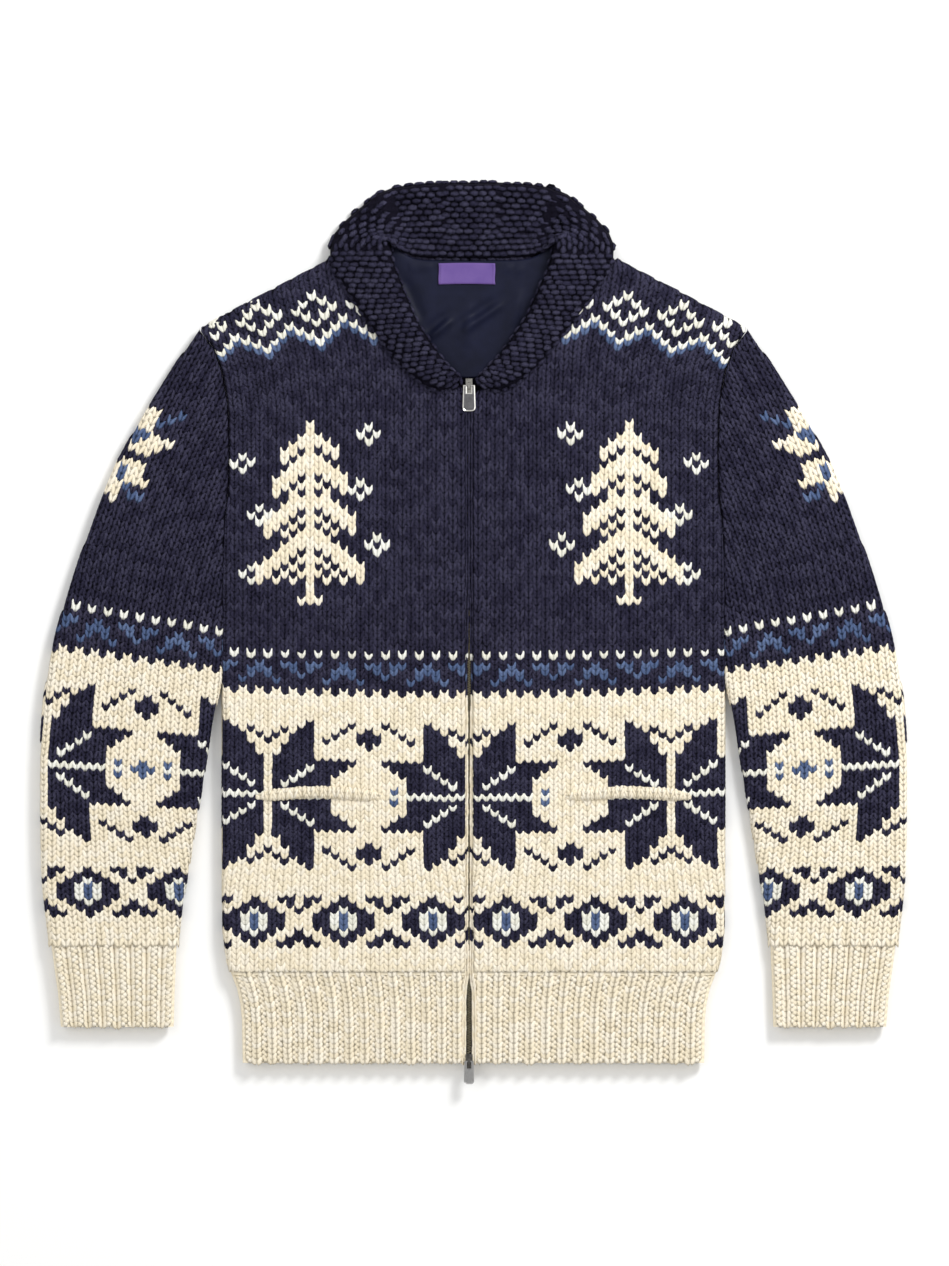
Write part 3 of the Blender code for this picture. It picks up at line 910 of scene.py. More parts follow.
class Chart:
    """Says which yarn knits each stitch. A subclass draws the motifs."""

    def yarn(self, wale: int, course: int) -> Yarn:
        """The yarn of one stitch."""
        raise NotImplementedError

    def read(self, wales: np.ndarray, courses: np.ndarray) -> np.ndarray:
        """The yarns of many stitches, as places in the Yarn enum.

        Args:
            wales: The wales.
            courses: The courses.

        Returns:
            A number for each stitch.
        """
        kinds = {yarn: place for place, yarn in enumerate(Yarn)}
        seen: dict[tuple[int, int], int] = {}
        for key in {(int(w), int(c)) for w, c in zip(wales, courses)}:
            seen[key] = kinds[self.yarn(*key)]
        return np.array([seen[(int(w), int(c))] for w, c in zip(wales, courses)])


# Courses of the bands, counted from the rib seam.
DIAMOND_COURSE = 9
STAR_COURSE = 32
CREAM_TOP_COURSE = 51
ZIGZAG_COURSE = 53
WHITE_COURSE = 58
YOKE_COURSE = 108

# Top row of each column of a star's upright arm, counted from the star's middle.
STAR_ARM_TOPS = (7, 9, 11, 12, 13)
# Lowest row of each column of a star's level arm, whose top row is 6.
STAR_ARM_LOWS = {6: 1, 7: 1, 8: 4, 9: 5, 10: 6}


def diamond_band(wale: int, row: int) -> Yarn:
    """The lower band: ringed diamonds every ten wales, with a V over and under each gap.

    Args:
        wale: The stitch's wale.
        row: Its row, counted from the band's middle.

    Returns:
        The stitch's yarn.
    """
    across = abs((wale + 5 + 5) % 10 - 5)
    tall = abs(row)
    if across == 0 and tall < 2:
        return Yarn.BLUE
    if (across, tall) in {(0, 2), (1, 0), (1, 1)}:
        return Yarn.WHITE
    if across <= 3 and across + tall <= 4:
        return Yarn.NAVY
    gap = 5 - across
    if (gap, tall) in {(0, 2), (1, 3), (1, 4), (2, 4)} or (gap, row) == (0, -3):
        return Yarn.NAVY
    return Yarn.CREAM


def star_band(wale: int, row: int) -> Yarn:
    """The large eight-point stars every 24 wales, and the small motifs between them.

    Args:
        wale: The stitch's wale.
        row: Its row, counted from the band's middle.

    Returns:
        The stitch's yarn.
    """
    across = abs((wale + 12) % 24 - 12)
    tall = abs(row)
    if row == 0:
        return {11: Yarn.BLUE, 12: Yarn.BLUE, 9: Yarn.WHITE}.get(
            across, Yarn.WHITE if 1 <= across <= 7 else Yarn.CREAM
        )
    if across == tall and 2 <= across <= 5:
        return Yarn.WHITE
    if 1 <= across <= 5 and 1 <= tall <= STAR_ARM_TOPS[across - 1]:
        return Yarn.NAVY
    if across in STAR_ARM_LOWS and STAR_ARM_LOWS[across] <= tall <= 6:
        return Yarn.NAVY
    if across <= 2 and tall == 10 + across:
        return Yarn.NAVY
    gap = 12 - across
    if (gap == 0 and 9 <= tall <= 12) or (gap == 1 and 10 <= tall <= 11):
        return Yarn.NAVY
    if 2 <= gap <= 5 and tall == 15 - gap:
        return Yarn.NAVY
    if (gap, tall) in {(3, 1), (0, 1)}:
        return Yarn.BLUE
    return Yarn.CREAM


def zigzag_band(wale: int, row: int) -> Yarn:
    """Four rows of blue V and peak shapes, five wales each. Row 0 is the lowest.

    Args:
        wale: The stitch's wale.
        row: Its row.

    Returns:
        The stitch's yarn.
    """
    valley = abs((wale + 5) % 10 - 5)
    peak = 5 - valley
    down = 3 - row
    if (valley, down) in {(0, 2), (1, 0), (1, 1), (2, 0)}:
        return Yarn.BLUE
    if (peak, down) in {(0, 0), (0, 1), (1, 1), (1, 2), (2, 3)}:
        return Yarn.BLUE
    return Yarn.NAVY


def lower_bands(wale: int, course: int, star_shift: int = 0) -> Yarn:
    """The bands from the rib up to the row of white stitches, the same on body and sleeves.

    Args:
        wale: The stitch's wale.
        course: Its course.
        star_shift: Wales that the stars are shifted by.

    Returns:
        The stitch's yarn.
    """
    if course < CREAM_TOP_COURSE:
        if abs(course - DIAMOND_COURSE) <= 4:
            return diamond_band(wale, course - DIAMOND_COURSE)
        if abs(course - STAR_COURSE) <= 13:
            return star_band(wale + star_shift, course - STAR_COURSE)
        return Yarn.CREAM
    if course == CREAM_TOP_COURSE:
        return Yarn.NAVY if wale % 2 == 0 else Yarn.CREAM
    if ZIGZAG_COURSE <= course < ZIGZAG_COURSE + 4:
        return zigzag_band(wale, course - ZIGZAG_COURSE)
    if course == WHITE_COURSE:
        return Yarn.WHITE if wale % 2 == 0 else Yarn.NAVY
    return Yarn.NAVY


# From this wale on, at the armhole, the white zigzag runs straight down.
YOKE_EDGE_WALE = 29


def yoke_band(wale: int, row: int) -> Yarn:
    """A white zigzag with blue beneath it, and a lattice of white diamonds over its low points.

    Args:
        wale: The stitch's wale.
        row: Its row, counted from the zigzag's upper points.

    Returns:
        The stitch's yarn.
    """
    if wale >= YOKE_EDGE_WALE and -8 <= row <= -4:
        return Yarn.WHITE if row % 2 else Yarn.BLUE
    high = abs((wale - 14 + 3) % 6 - 3)
    if row == -high:
        return Yarn.WHITE
    if row == -high - 1:
        return Yarn.BLUE
    low = 3 - high
    if low + abs(row - 2) == 2:
        return Yarn.WHITE
    return Yarn.NAVY


# The fir tree of the chest, its right half from the middle wale outwards, top row first.
FIR_TREE = (
    "X",
    "X",
    "XX",
    "XXX",
    "X.XX",
    "XX.X",
    "XXX",
    "XXXX",
    "X.XXX",
    "XX.XX",
    "X.X.X",
    "XXX",
    "XXXX",
    "X.XXX",
    "XX.XXX",
    "X.X.XX",
    "XX.X.X",
    "XXX",
    "XXXX",
    "X.XXX",
    "XX.XXX",
    "X.X.XXX",
    "XX.X.XX",
    "X.X.X.X",
    "X",
    "X",
    "XX",
)
FIR_TOP_COURSE = 92
FIR_WALE = 19
# Small snow crosses round the tree: wale and course of each middle.
SNOW_CROSSES = ((12, 90), (27, 87), (11, 74), (26, 70), (13, 82), (25, 79))


def chest_motif(wale: int, course: int) -> Yarn:
    """A knitted fir tree and snow crosses on each side of the chest.

    Args:
        wale: The stitch's wale.
        course: Its course.

    Returns:
        The stitch's yarn.
    """
    row = FIR_TOP_COURSE - course
    across = abs(wale - FIR_WALE)
    if 0 <= row < len(FIR_TREE) and across < len(FIR_TREE[row]) and FIR_TREE[row][across] == "X":
        return Yarn.CREAM
    for middle, height in SNOW_CROSSES:
        if abs(wale - middle) + abs(course - height) == 1:
            return Yarn.WHITE
    return Yarn.NAVY


class BodyChart(Chart):
    """Body panels. Wales are counted outwards from the zip, or from the middle of the back."""

    def yarn(self, wale: int, course: int) -> Yarn:
        """The yarn of one stitch of the body.

        Args:
            wale: The stitch's wale.
            course: Its course.

        Returns:
            The stitch's yarn.
        """
        if abs(course - STAR_COURSE) <= 1 and 10 <= wale <= 15:
            return Yarn.CREAM
        if course <= WHITE_COURSE:
            return lower_bands(wale, course)
        if YOKE_COURSE - 4 <= course <= YOKE_COURSE + 4:
            return yoke_band(wale, course - YOKE_COURSE)
        return chest_motif(wale, course)


class BackChart(BodyChart):
    """The back panel. It has the bands of the fronts and a plain navy field between them."""

    def yarn(self, wale: int, course: int) -> Yarn:
        """The yarn of one stitch of the back.

        Args:
            wale: The stitch's wale.
            course: Its course.

        Returns:
            The stitch's yarn.
        """
        if WHITE_COURSE < course < YOKE_COURSE - 4:
            return Yarn.NAVY
        return super().yarn(wale, course)


# The snowflake at a sleeve's outer fold. Wale: courses of its white and of its blue stitches.
SNOWFLAKE = {
    -10: ((74, 75, 76, 77), ()),
    -9: ((73, 74, 75, 78, 80, 83, 84, 85), (76, 77, 81, 82)),
    -8: ((76, 77, 78, 80, 81, 83, 84, 85), (75, 82)),
    -7: ((76, 77, 78, 80, 81, 82), (74, 84)),
    -6: ((76, 81, 82), (74, 85)),
    -5: ((82,), (86,)),
}
SNOWFLAKE_FOLD = -10.5


class SleeveChart(Chart):
    """Sleeves. Their bands are the body's, two wales over, with a snowflake at the outer fold."""

    def yarn(self, wale: int, course: int) -> Yarn:
        """The yarn of one stitch of a sleeve.

        Args:
            wale: The stitch's wale.
            course: Its course.

        Returns:
            The stitch's yarn.
        """
        if course <= WHITE_COURSE:
            return lower_bands(wale + 2, course, 10)
        folded = wale if wale > SNOWFLAKE_FOLD else int(2 * SNOWFLAKE_FOLD - wale)
        white, blue = SNOWFLAKE.get(folded, ((), ()))
        if course in white:
            return Yarn.CREAM
        return Yarn.BLUE if course in blue else Yarn.NAVY


# --------------------------------------------------------------------------- lattices


def smooth_table(table: Sequence[tuple[float, float]], at: np.ndarray) -> np.ndarray:
    """Reads a table of (place, value) rows between its rows."""
    places, values = np.array(table).T
    return np.interp(at, places, values)


# Columns: course, Y at the zip.
BODY_COURSES = (
    (0, -305.1), (9, -258.3), (32, -147.5), (51, -54.5), (58, -20.4), (96, 220.5), (108, 290.7),
    (120, 365.4), (129, 421.0),
)  # fmt: skip
# Columns: Y, width of a stitch.
BODY_GAUGE = ((-250.0, 8.05), (-200.0, 7.56), (215.0, 7.56), (258.0, 7.75), (335.0, 8.6))
# Columns: Y, how much lower a course lies at the side than at the zip.
BODY_DROP = (
    (-250.0, 0.0), (-147.0, -4.0), (-54.0, -5.0), (30.0, 0.0), (165.0, 10.0), (282.0, 22.5),
    (335.0, 24.0),
)  # fmt: skip
BODY_GAUGE_PIVOT = 15
# Width of a stitch at the chest and above the hem, and X of the side, where courses drop in full.
CHEST_GAUGE = 7.56
HEM_GAUGE = 8.05
SIDE_X = 205.0


@dataclass
class BodyLattice:
    """Wales and courses of a body panel."""

    side: int
    middle: float = ZIP_X + 0.4
    # The wale that stays in place where the stitches are wider, below the chest.
    pivot: int = BODY_GAUGE_PIVOT

    def __call__(self, wales: np.ndarray, courses: np.ndarray) -> tuple[np.ndarray, np.ndarray]:
        """Turns (wale, course) to (s, y). Wales count outwards from the zip.

        Args:
            wales: The wales.
            courses: The courses.

        Returns:
            Places across and along.
        """
        y = smooth_table(BODY_COURSES, courses)
        gauge = smooth_table(BODY_GAUGE, y)
        out = wales * gauge - self.pivot * (np.minimum(gauge, HEM_GAUGE) - CHEST_GAUGE) * (y < 0)
        drop = smooth_table(BODY_DROP, y)
        return self.middle + self.side * out, y - drop * (out / SIDE_X) ** 2


# The sleeve's middle wale, up from the cuff. Columns: course, X, Y, tilt in degrees, stitch width.
SLEEVE_SPINE = (
    (-3, -303.5, -296.0, 0.0, 8.0),
    (0, -302.9, -277.2, 0.0, 8.0),
    (9, -306.0, -231.3, 0.0, 8.2),
    (17, -309.0, -194.0, 1.0, 7.8),
    (25, -311.9, -157.0, 2.5, 7.5),
    (32, -312.7, -121.5, 3.5, 7.43),
    (43, -308.5, -62.0, 6.0, 7.35),
    (51, -304.5, -22.3, 8.0, 7.3),
    (58, -300.5, 14.4, 10.0, 7.3),
    (66, -289.8, 65.7, 12.5, 7.3),
    (72, -277.8, 101.7, 16.0, 7.3),
    (78, -264.2, 137.7, 20.5, 7.4),
    (84, -247.9, 173.7, 24.5, 7.4),
    (90, -229.1, 209.7, 27.5, 7.4),
    (96, -208.8, 245.7, 29.5, 7.4),
    (102, -187.2, 281.7, 30.5, 7.4),
)  # fmt: skip
SLEEVE_SPINE_WALE = -2


@dataclass
class SleeveLattice:
    """Wales and courses of a sleeve. Wales count from the outer fold inwards, 0 near the middle."""

    side: int

    def __call__(self, wales: np.ndarray, courses: np.ndarray) -> tuple[np.ndarray, np.ndarray]:
        """Turns (wale, course) to (s, y).

        Args:
            wales: The wales.
            courses: The courses.

        Returns:
            Places across and along.
        """
        spine = np.array(SLEEVE_SPINE)
        x, y, tilt, gauge = (np.interp(courses, spine[:, 0], spine[:, k]) for k in (1, 2, 3, 4))
        away = (wales - SLEEVE_SPINE_WALE) * gauge
        angle = np.radians(tilt)
        return -self.side * (x + away * np.cos(angle)), y - away * np.sin(angle)


# --------------------------------------------------------------------------- studio


@dataclass(frozen=True)
class Studio:
    """A pale table, soft light from all sides and a camera far above with a long lens."""

    floor_colour: str = "#f4f4f3"
    camera_height: float = 9.0

    def build(self) -> None:
        """Makes the floor, the lights and the camera."""
        deselect_all()
        bpy.ops.mesh.primitive_grid_add(x_subdivisions=2, y_subdivisions=2, size=30)
        floor = bpy.context.active_object
        floor.name = "studio_floor"
        material, tree, shader = start_material("studio_paper")
        shader.inputs["Base Color"].default_value = linear(self.floor_colour)
        shader.inputs["Roughness"].default_value = 0.9
        floor.data.materials.append(material)
        # The yarn of the underside reaches a little below the knit's own wall.
        for vertex in floor.data.vertices:
            vertex.co.z = -3.1 * MM
        self.light("key", (1.4, 1.7, 1.8), 0.8, 62.0)
        self.light("fill", (-1.5, 0.6, 2.4), 1.8, 12.0)
        world = bpy.data.worlds.new("studio_air")
        world.use_nodes = True
        background = world.node_tree.nodes["Background"]
        background.inputs["Color"].default_value = (1.0, 1.0, 1.0, 1.0)
        background.inputs["Strength"].default_value = 0.72
        bpy.context.scene.world = world
        bpy.context.scene.view_settings.view_transform = "Standard"
        self.camera()

    def light(self, name: str, place: tuple[float, float, float], size: float, watts: float) -> None:
        """Adds a square soft light that looks at the garment's middle.

        Args:
            name: The light's name.
            place: Where it hangs, in metres.
            size: Its side in metres.
            watts: Its power.
        """
        lamp = bpy.data.lights.new(name, "AREA")
        lamp.size = size
        lamp.energy = watts
        holder = bpy.data.objects.new(name, lamp)
        holder.location = place
        holder.rotation_euler = (Vector((0, 0, 0)) - Vector(place)).to_track_quat("-Z", "Y").to_euler()
        bpy.context.scene.collection.objects.link(holder)

    def camera(self) -> None:
        """Adds the camera, which frames the photograph's own view from straight above."""
        data = bpy.data.cameras.new("camera")
        data.sensor_fit = "VERTICAL"
        data.sensor_height = 36.0
        tall = PHOTO_SIZE[1] * PIXEL * MM
        data.lens = 36.0 * self.camera_height / tall
        data.clip_end = 50.0
        camera = bpy.data.objects.new("camera", data)
        camera.location = (PHOTO_AIM_X * MM, 0.0, self.camera_height + 0.011)
        bpy.context.scene.collection.objects.link(camera)
        bpy.context.scene.camera = camera


# --------------------------------------------------------------------------- cloth under the stitches


@dataclass(frozen=True)
class KnitShadeGround:
    """The body of a wool knit, seen only between its stitches: dull, ribbed along the wales, in colours
    darker than its yarn's, which are painted shade.
    """

    name: str
    colours: tuple[str, str]
    stitch: tuple[float, float] = (7.56, 5.8)

    def material(self) -> bpy.types.Material:
        """Makes the knit: columns and rows at the gauge of the garment, with loose fibres.

        Returns:
            The material.
        """
        material, tree, shader = start_material(self.name)
        shader.inputs["Roughness"].default_value = 0.95
        shader.inputs["Specular IOR Level"].default_value = 0.05
        place = add_node(tree, "ShaderNodeTexCoord", {}, {}).outputs["Object"]
        # A wave of scale 1 repeats every 0.314 m.
        columns, rows = (0.314 / (size * MM) for size in self.stitch)
        wales = add_node(
            tree, "ShaderNodeTexWave", {"Scale": columns, "Distortion": 0.6}, {"Vector": place}
        )
        courses = add_node(
            tree,
            "ShaderNodeTexWave",
            {"bands_direction": "Y", "Scale": rows, "Distortion": 1.0},
            {"Vector": place},
        )
        height = add_math(tree, "ADD", wales.outputs["Fac"], courses.outputs["Fac"])
        add_bump(tree, shader, height, 0.6, 0.0008)
        # Fibres of about a millimetre.
        fibres = add_node(
            tree, "ShaderNodeTexNoise", {"Scale": 900.0, "Detail": 3.0}, {"Vector": place}
        )
        blend_colours(tree, shader, fibres.outputs["Fac"], self.colours)
        return material


def blend_colours(
    tree: bpy.types.NodeTree,
    shader: bpy.types.Node,
    share: bpy.types.NodeSocket,
    colours: tuple[str, str],
    span: tuple[float, float] = (0.3, 0.7),
) -> None:
    """Colours a shader between two colours.

    Args:
        tree: The node tree.
        shader: The Principled shader.
        share: How much of the second colour shows.
        colours: Two sRGB hex colours.
        span: The shares at which the first colour ends and the second is full.
    """
    ramp = add_node(tree, "ShaderNodeValToRGB", {}, {"Fac": share})
    for stop, colour, place in zip(ramp.color_ramp.elements, colours, span):
        stop.color = linear(colour)
        stop.position = place
    tree.links.new(ramp.outputs["Color"], shader.inputs["Base Color"])


@dataclass(frozen=True)
class WovenCloth:
    """Fine woven cloth, such as a polyester twill lining, a satin label or a zip tape."""

    name: str
    colours: tuple[str, str]
    thread: float
    roughness: float
    sheen: float = 0.1
    slant: float = 0.0
    specular: float = 0.35

    def material(self) -> bpy.types.Material:
        """Makes the weave. The thread is the spacing in mm, drawn as coarse as it needs to show.

        Returns:
            The material.
        """
        material, tree, shader = start_material(self.name)
        shader.inputs["Roughness"].default_value = self.roughness
        shader.inputs["Sheen Weight"].default_value = self.sheen
        shader.inputs["Sheen Roughness"].default_value = 0.4
        shader.inputs["Specular IOR Level"].default_value = self.specular
        place = add_node(tree, "ShaderNodeTexCoord", {}, {}).outputs["Object"]
        turned = add_node(
            tree, "ShaderNodeMapping", {"Rotation": (0.0, 0.0, self.slant)}, {"Vector": place}
        )
        scale = 0.314 / (self.thread * MM)
        warp = add_node(
            tree, "ShaderNodeTexWave", {"Scale": scale, "Distortion": 0.4}, {"Vector": turned.outputs[0]}
        )
        weft = add_node(
            tree,
            "ShaderNodeTexWave",
            {"bands_direction": "Y", "Scale": scale, "Distortion": 0.4},
            {"Vector": turned.outputs[0]},
        )
        height = add_math(tree, "MULTIPLY", warp.outputs["Fac"], weft.outputs["Fac"])
        add_bump(tree, shader, height, 0.35, 0.0002)
        cloud = add_node(
            tree, "ShaderNodeTexNoise", {"Scale": 60.0, "Detail": 4.0}, {"Vector": place}
        )
        blend_colours(tree, shader, cloud.outputs["Fac"], self.colours)
        return material


@dataclass(frozen=True)
class PlatedMetal:
    """Die-cast zinc with a plated skin, polished or brushed, with small rubbed places."""

    name: str
    colours: tuple[str, str]
    roughness: tuple[float, float]
    brushed: bool = False

    def material(self) -> bpy.types.Material:
        """Makes the metal.

        Returns:
            The material.
        """
        material, tree, shader = start_material(self.name)
        shader.inputs["Metallic"].default_value = 1.0
        place = add_node(tree, "ShaderNodeTexCoord", {}, {}).outputs["Object"]
        stretch = (9.0, 0.7, 1.0) if self.brushed else (1.0, 1.0, 1.0)
        turned = add_node(tree, "ShaderNodeMapping", {"Scale": stretch}, {"Vector": place})
        grain = add_node(
            tree,
            "ShaderNodeTexNoise",
            {"Scale": 420.0, "Detail": 4.0},
            {"Vector": turned.outputs[0]},
        )
        rough = add_node(
            tree,
            "ShaderNodeMapRange",
            {3: self.roughness[0], 4: self.roughness[1]},
            {0: grain.outputs["Fac"]},
        )
        tree.links.new(rough.outputs[0], shader.inputs["Roughness"])
        add_bump(tree, shader, grain.outputs["Fac"], 0.15, 0.0001)
        blend_colours(tree, shader, grain.outputs["Fac"], self.colours)
        return material


def solid_copy(node: str, name: str, materials: Sequence[bpy.types.Material]) -> bpy.types.Object:
    """Copies a CAD solid as the start of the piece that replaces it.

    Args:
        node: The CAD node.
        name: The new piece's name.
        materials: Its materials.

    Returns:
        The new piece, merged.
    """
    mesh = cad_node(node).data.copy()
    mesh.name = name
    shape = bmesh.new()
    shape.from_mesh(mesh)
    bmesh.ops.remove_doubles(shape, verts=shape.verts, dist=1e-6)
    shape.to_mesh(mesh)
    shape.free()
    mesh.materials.clear()
    for material in materials:
        mesh.materials.append(material)
    for polygon in mesh.polygons:
        polygon.material_index = 0
    piece = bpy.data.objects.new(name, mesh)
    bpy.context.scene.collection.objects.link(piece)
    return piece


@dataclass
class KnitShell:
    """A panel's body of cloth, in place of its solid: navy over a line across it and cream below, in the
    dark ground colours, which are painted shade where it shows between stitches.
    """

    node: str
    slot: str
    flat: tuple[float, float]
    area: float
    rests_on: Sequence[str]
    # A point of the line between the colours, in mm, and its slope. None where it has one colour.
    line: tuple[float, float, float] | None = None
    colour: int = 0

    def build(
        self, shade_grounds: Sequence[bpy.types.Material], stitches: Sequence[bpy.types.Object]
    ) -> bpy.types.Object:
        """Args:
            shade_grounds: The navy and the cream ground.
            stitches: The pieces of stitches on it; not used.

        Returns:
            The shell.
        """
        piece = solid_copy(self.node, f"{self.node}_cloth", shade_grounds)
        if self.line is None:
            for polygon in piece.data.polygons:
                polygon.material_index = self.colour
        else:
            self.part_colours(piece.data)
        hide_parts(self.node)
        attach(piece, BODY_ROOT)
        LOG.info("%s: cloth shell", piece.name)
        return piece

    def part_colours(self, mesh: bpy.types.Mesh) -> None:
        """Cuts the mesh along the line and gives each side its colour.

        Args:
            mesh: The shell's mesh.
        """
        x, y, slope = self.line
        across = Vector((-slope, 1.0, 0.0)).normalized()
        point = Vector((x, y, 0.0)) * MM
        shape = bmesh.new()
        shape.from_mesh(mesh)
        parts = [*shape.verts, *shape.edges, *shape.faces]
        bmesh.ops.bisect_plane(shape, geom=parts, plane_co=point, plane_no=across)
        for face in shape.faces:
            face.material_index = 0 if (face.calc_center_median() - point).dot(across) > 0 else 1
        shape.to_mesh(mesh)
        shape.free()


@dataclass
class Panel:
    """Stitches on one face of a knitted panel."""

    node: str
    chart: Chart
    lattice: Lattice
    wales: tuple[int, int]
    courses: tuple[int, int]
    upper: bool = True
    rings: int = 3
    covers: Sequence[Cover] = ()

    def sites(self, face: ClothFace) -> StitchSet:
        """The stitches that lie on the face and show.

        Args:
            face: The cloth face.

        Returns:
            The stitches.
        """
        wales, courses = np.meshgrid(np.arange(*self.wales), np.arange(*self.courses))
        wales, courses = wales.ravel().astype(float), courses.ravel().astype(float)
        s, y = self.lattice(wales, courses)
        shown = face.holds(s, y, -1.0)
        places = face.place(s, y, np.zeros(len(s)))
        for k in np.flatnonzero(shown):
            x, up = float(places[k, 0]), float(places[k, 1])
            shown[k] = not any(cover.hides(x, up, 6.0) for cover in self.covers)
        wales, courses = wales[shown], courses[shown]
        return StitchSet(wales, courses, self.chart.read(wales, courses))

    def knit(self, yarn_box: YarnBox, leg: LegShape, name: str, parts: int = 1) -> list:
        """Knits the face.

        Args:
            yarn_box: The yarns.
            leg: The form of a stitch's leg.
            name: The pieces' name.
            parts: Pieces that the stitches are shared between, from the lowest courses up.

        Returns:
            The stitch pieces.
        """
        # A rib is sewn to the lower end.
        face = ClothFace(self.node, self.upper, sewn=(4.5, 0.0))
        every = self.sites(face)
        limits = np.quantile(every.courses, np.linspace(0, 1, parts + 1))
        pieces = []
        for part in range(parts):
            top = limits[part + 1] + (1 if part == parts - 1 else 0)
            mine = (every.courses >= limits[part]) & (every.courses < top)
            chosen = StitchSet(every.wales[mine], every.courses[mine], every.yarns[mine])
            heap = MeshHeap()
            Knitter(yarn_box, leg, self.rings, 7 + part).lay(heap, face, self.lattice, chosen)
            piece = heap.build(f"{name}_{part + 1}" if parts > 1 else name, yarn_box.materials)
            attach(piece, BODY_ROOT)
            pieces.append(piece)
            LOG.info("%s: %d stitches", piece.name, len(chosen.wales))
        return pieces


# A purl bump of a rib's valley. Each row has two halves, off the valley's middle by PURL_OFFSET
# stitch widths. Its half sizes are in stitch widths, in row heights and in mm.
PURL_OFFSET = 0.12
PURL_HALF_WIDTH = 0.34
PURL_HALF_LENGTH = 0.66
PURL_HALF_DEPTH = 0.5
PURL_LIFT = 0.7
PURL_DRIFT = 0.06


@dataclass
class RibBand:
    """A ribbed band: a raised wale of V stitches, then a narrow valley of purl bumps, and so on."""

    # Where ribs start and where a raised wale's middle lies, as shares of a rib, and the first row.
    START_SHARE = 0.11
    RAISED_SHARE = 0.39
    FIRST_ROW = 2.4

    node: str
    side: int
    ribs: int
    rib: float
    span: float
    bottom: float
    # How far the flat part starts from the band's inner and outer edges, and which one ribs start at.
    inner_fold: float
    outer_fold: float = 5.3
    from_outer: bool = False
    upper: bool = True
    row: float = 4.6
    lift: float = 0.0
    rings: int = 2

    def lattice(self, face: ClothFace) -> Lattice:
        """The band's lattice. Even wales are the raised ones and odd wales the valleys.

        Args:
            face: The band's face.

        Returns:
            The lattice.
        """
        start = (self.span - self.ribs * self.rib) / 2 + self.rib * self.START_SHARE

        def place(wales: np.ndarray, courses: np.ndarray) -> tuple[np.ndarray, np.ndarray]:
            """Turns (wale, course) to (s, y).

            Args:
                wales: The wales.
                courses: The courses.

            Returns:
                Places across and along.
            """
            y = self.bottom + self.FIRST_ROW + courses * self.row
            inner = np.interp(y, face.ys, face.ends if self.side < 0 else face.starts) * self.side
            outer = np.interp(y, face.ys, face.starts if self.side < 0 else face.ends) * self.side
            low, high = inner + self.inner_fold, outer - self.outer_fold
            share = (start + self.rib * (self.RAISED_SHARE + wales / 2)) / self.span
            out = high + (low - high) * share if self.from_outer else low + (high - low) * share
            return self.side * out, y

        return place

    def knit(self, yarn_box: YarnBox, name: str) -> bpy.types.Object:
        """Knits the band's face.

        Args:
            yarn_box: The yarns.
            name: The piece's name.

        Returns:
            The stitches.
        """
        face = ClothFace(self.node, self.upper, rolled=False, sewn=(0.0, 4.5))
        lattice = self.lattice(face)
        rows = int((face.ys[-1] - self.bottom - 2.0) / self.row) + 3
        heap = MeshHeap()
        wales, courses = np.meshgrid(np.arange(0, 2 * self.ribs, 2), np.arange(rows))
        wales, courses = wales.ravel().astype(float), courses.ravel().astype(float)
        yarns = np.full(len(wales), CREAM_PLACE)
        leg = LegShape(0.19, 0.45, 0.93, 0.42, 0.9, 0.5 + self.lift, 0.3)
        knitter = Knitter(yarn_box, leg, self.rings, 21)
        knitter.lay(heap, face, lattice, StitchSet(wales, courses, yarns), (-1,))
        knitter.lay(heap, face, lattice, StitchSet(wales, courses, yarns), (1,))
        self.purl(heap, face, lattice, yarn_box, rows)
        piece = heap.build(name, yarn_box.materials)
        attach(piece, BODY_ROOT)
        LOG.info("%s: %d ribs of %d rows", name, self.ribs, rows)
        return piece

    def purl(
        self, heap: MeshHeap, face: ClothFace, lattice: Lattice, yarn_box: YarnBox, rows: int
    ) -> None:
        """Adds the small purl bumps of the valleys, a pair in each row.

        Args:
            heap: Takes the copies.
            face: The band's face.
            lattice: The band's lattice.
            yarn_box: The yarns.
            rows: How many rows the band has.
        """
        chance = np.random.default_rng(23)
        mould = grain_mould(2)
        wales, courses = np.meshgrid(np.arange(-1, 2 * self.ribs, 2), np.arange(rows))
        wales, courses = wales.ravel().astype(float), courses.ravel().astype(float)
        for half, shift in ((-1, 0.0), (1, 0.5)):
            drift = chance.normal(0, 1, (len(wales), 2))
            x, y, z = (mould.points[None, :, k] for k in (1, 0, 2))
            across = wales[:, None] + half * PURL_OFFSET + x * PURL_HALF_WIDTH
            along = courses[:, None] + shift + y * PURL_HALF_LENGTH + PURL_DRIFT * drift[:, :1]
            tall = PURL_LIFT + self.lift * 0.5 + z * PURL_HALF_DEPTH
            tall = np.broadcast_to(tall, along.shape)
            points = Knitter.on_face(face, lattice, across, along, tall)
            kinds = np.full(len(wales), CREAM_PLACE)
            heap.add_copies(mould, points, yarn_box.shades(kinds, chance))


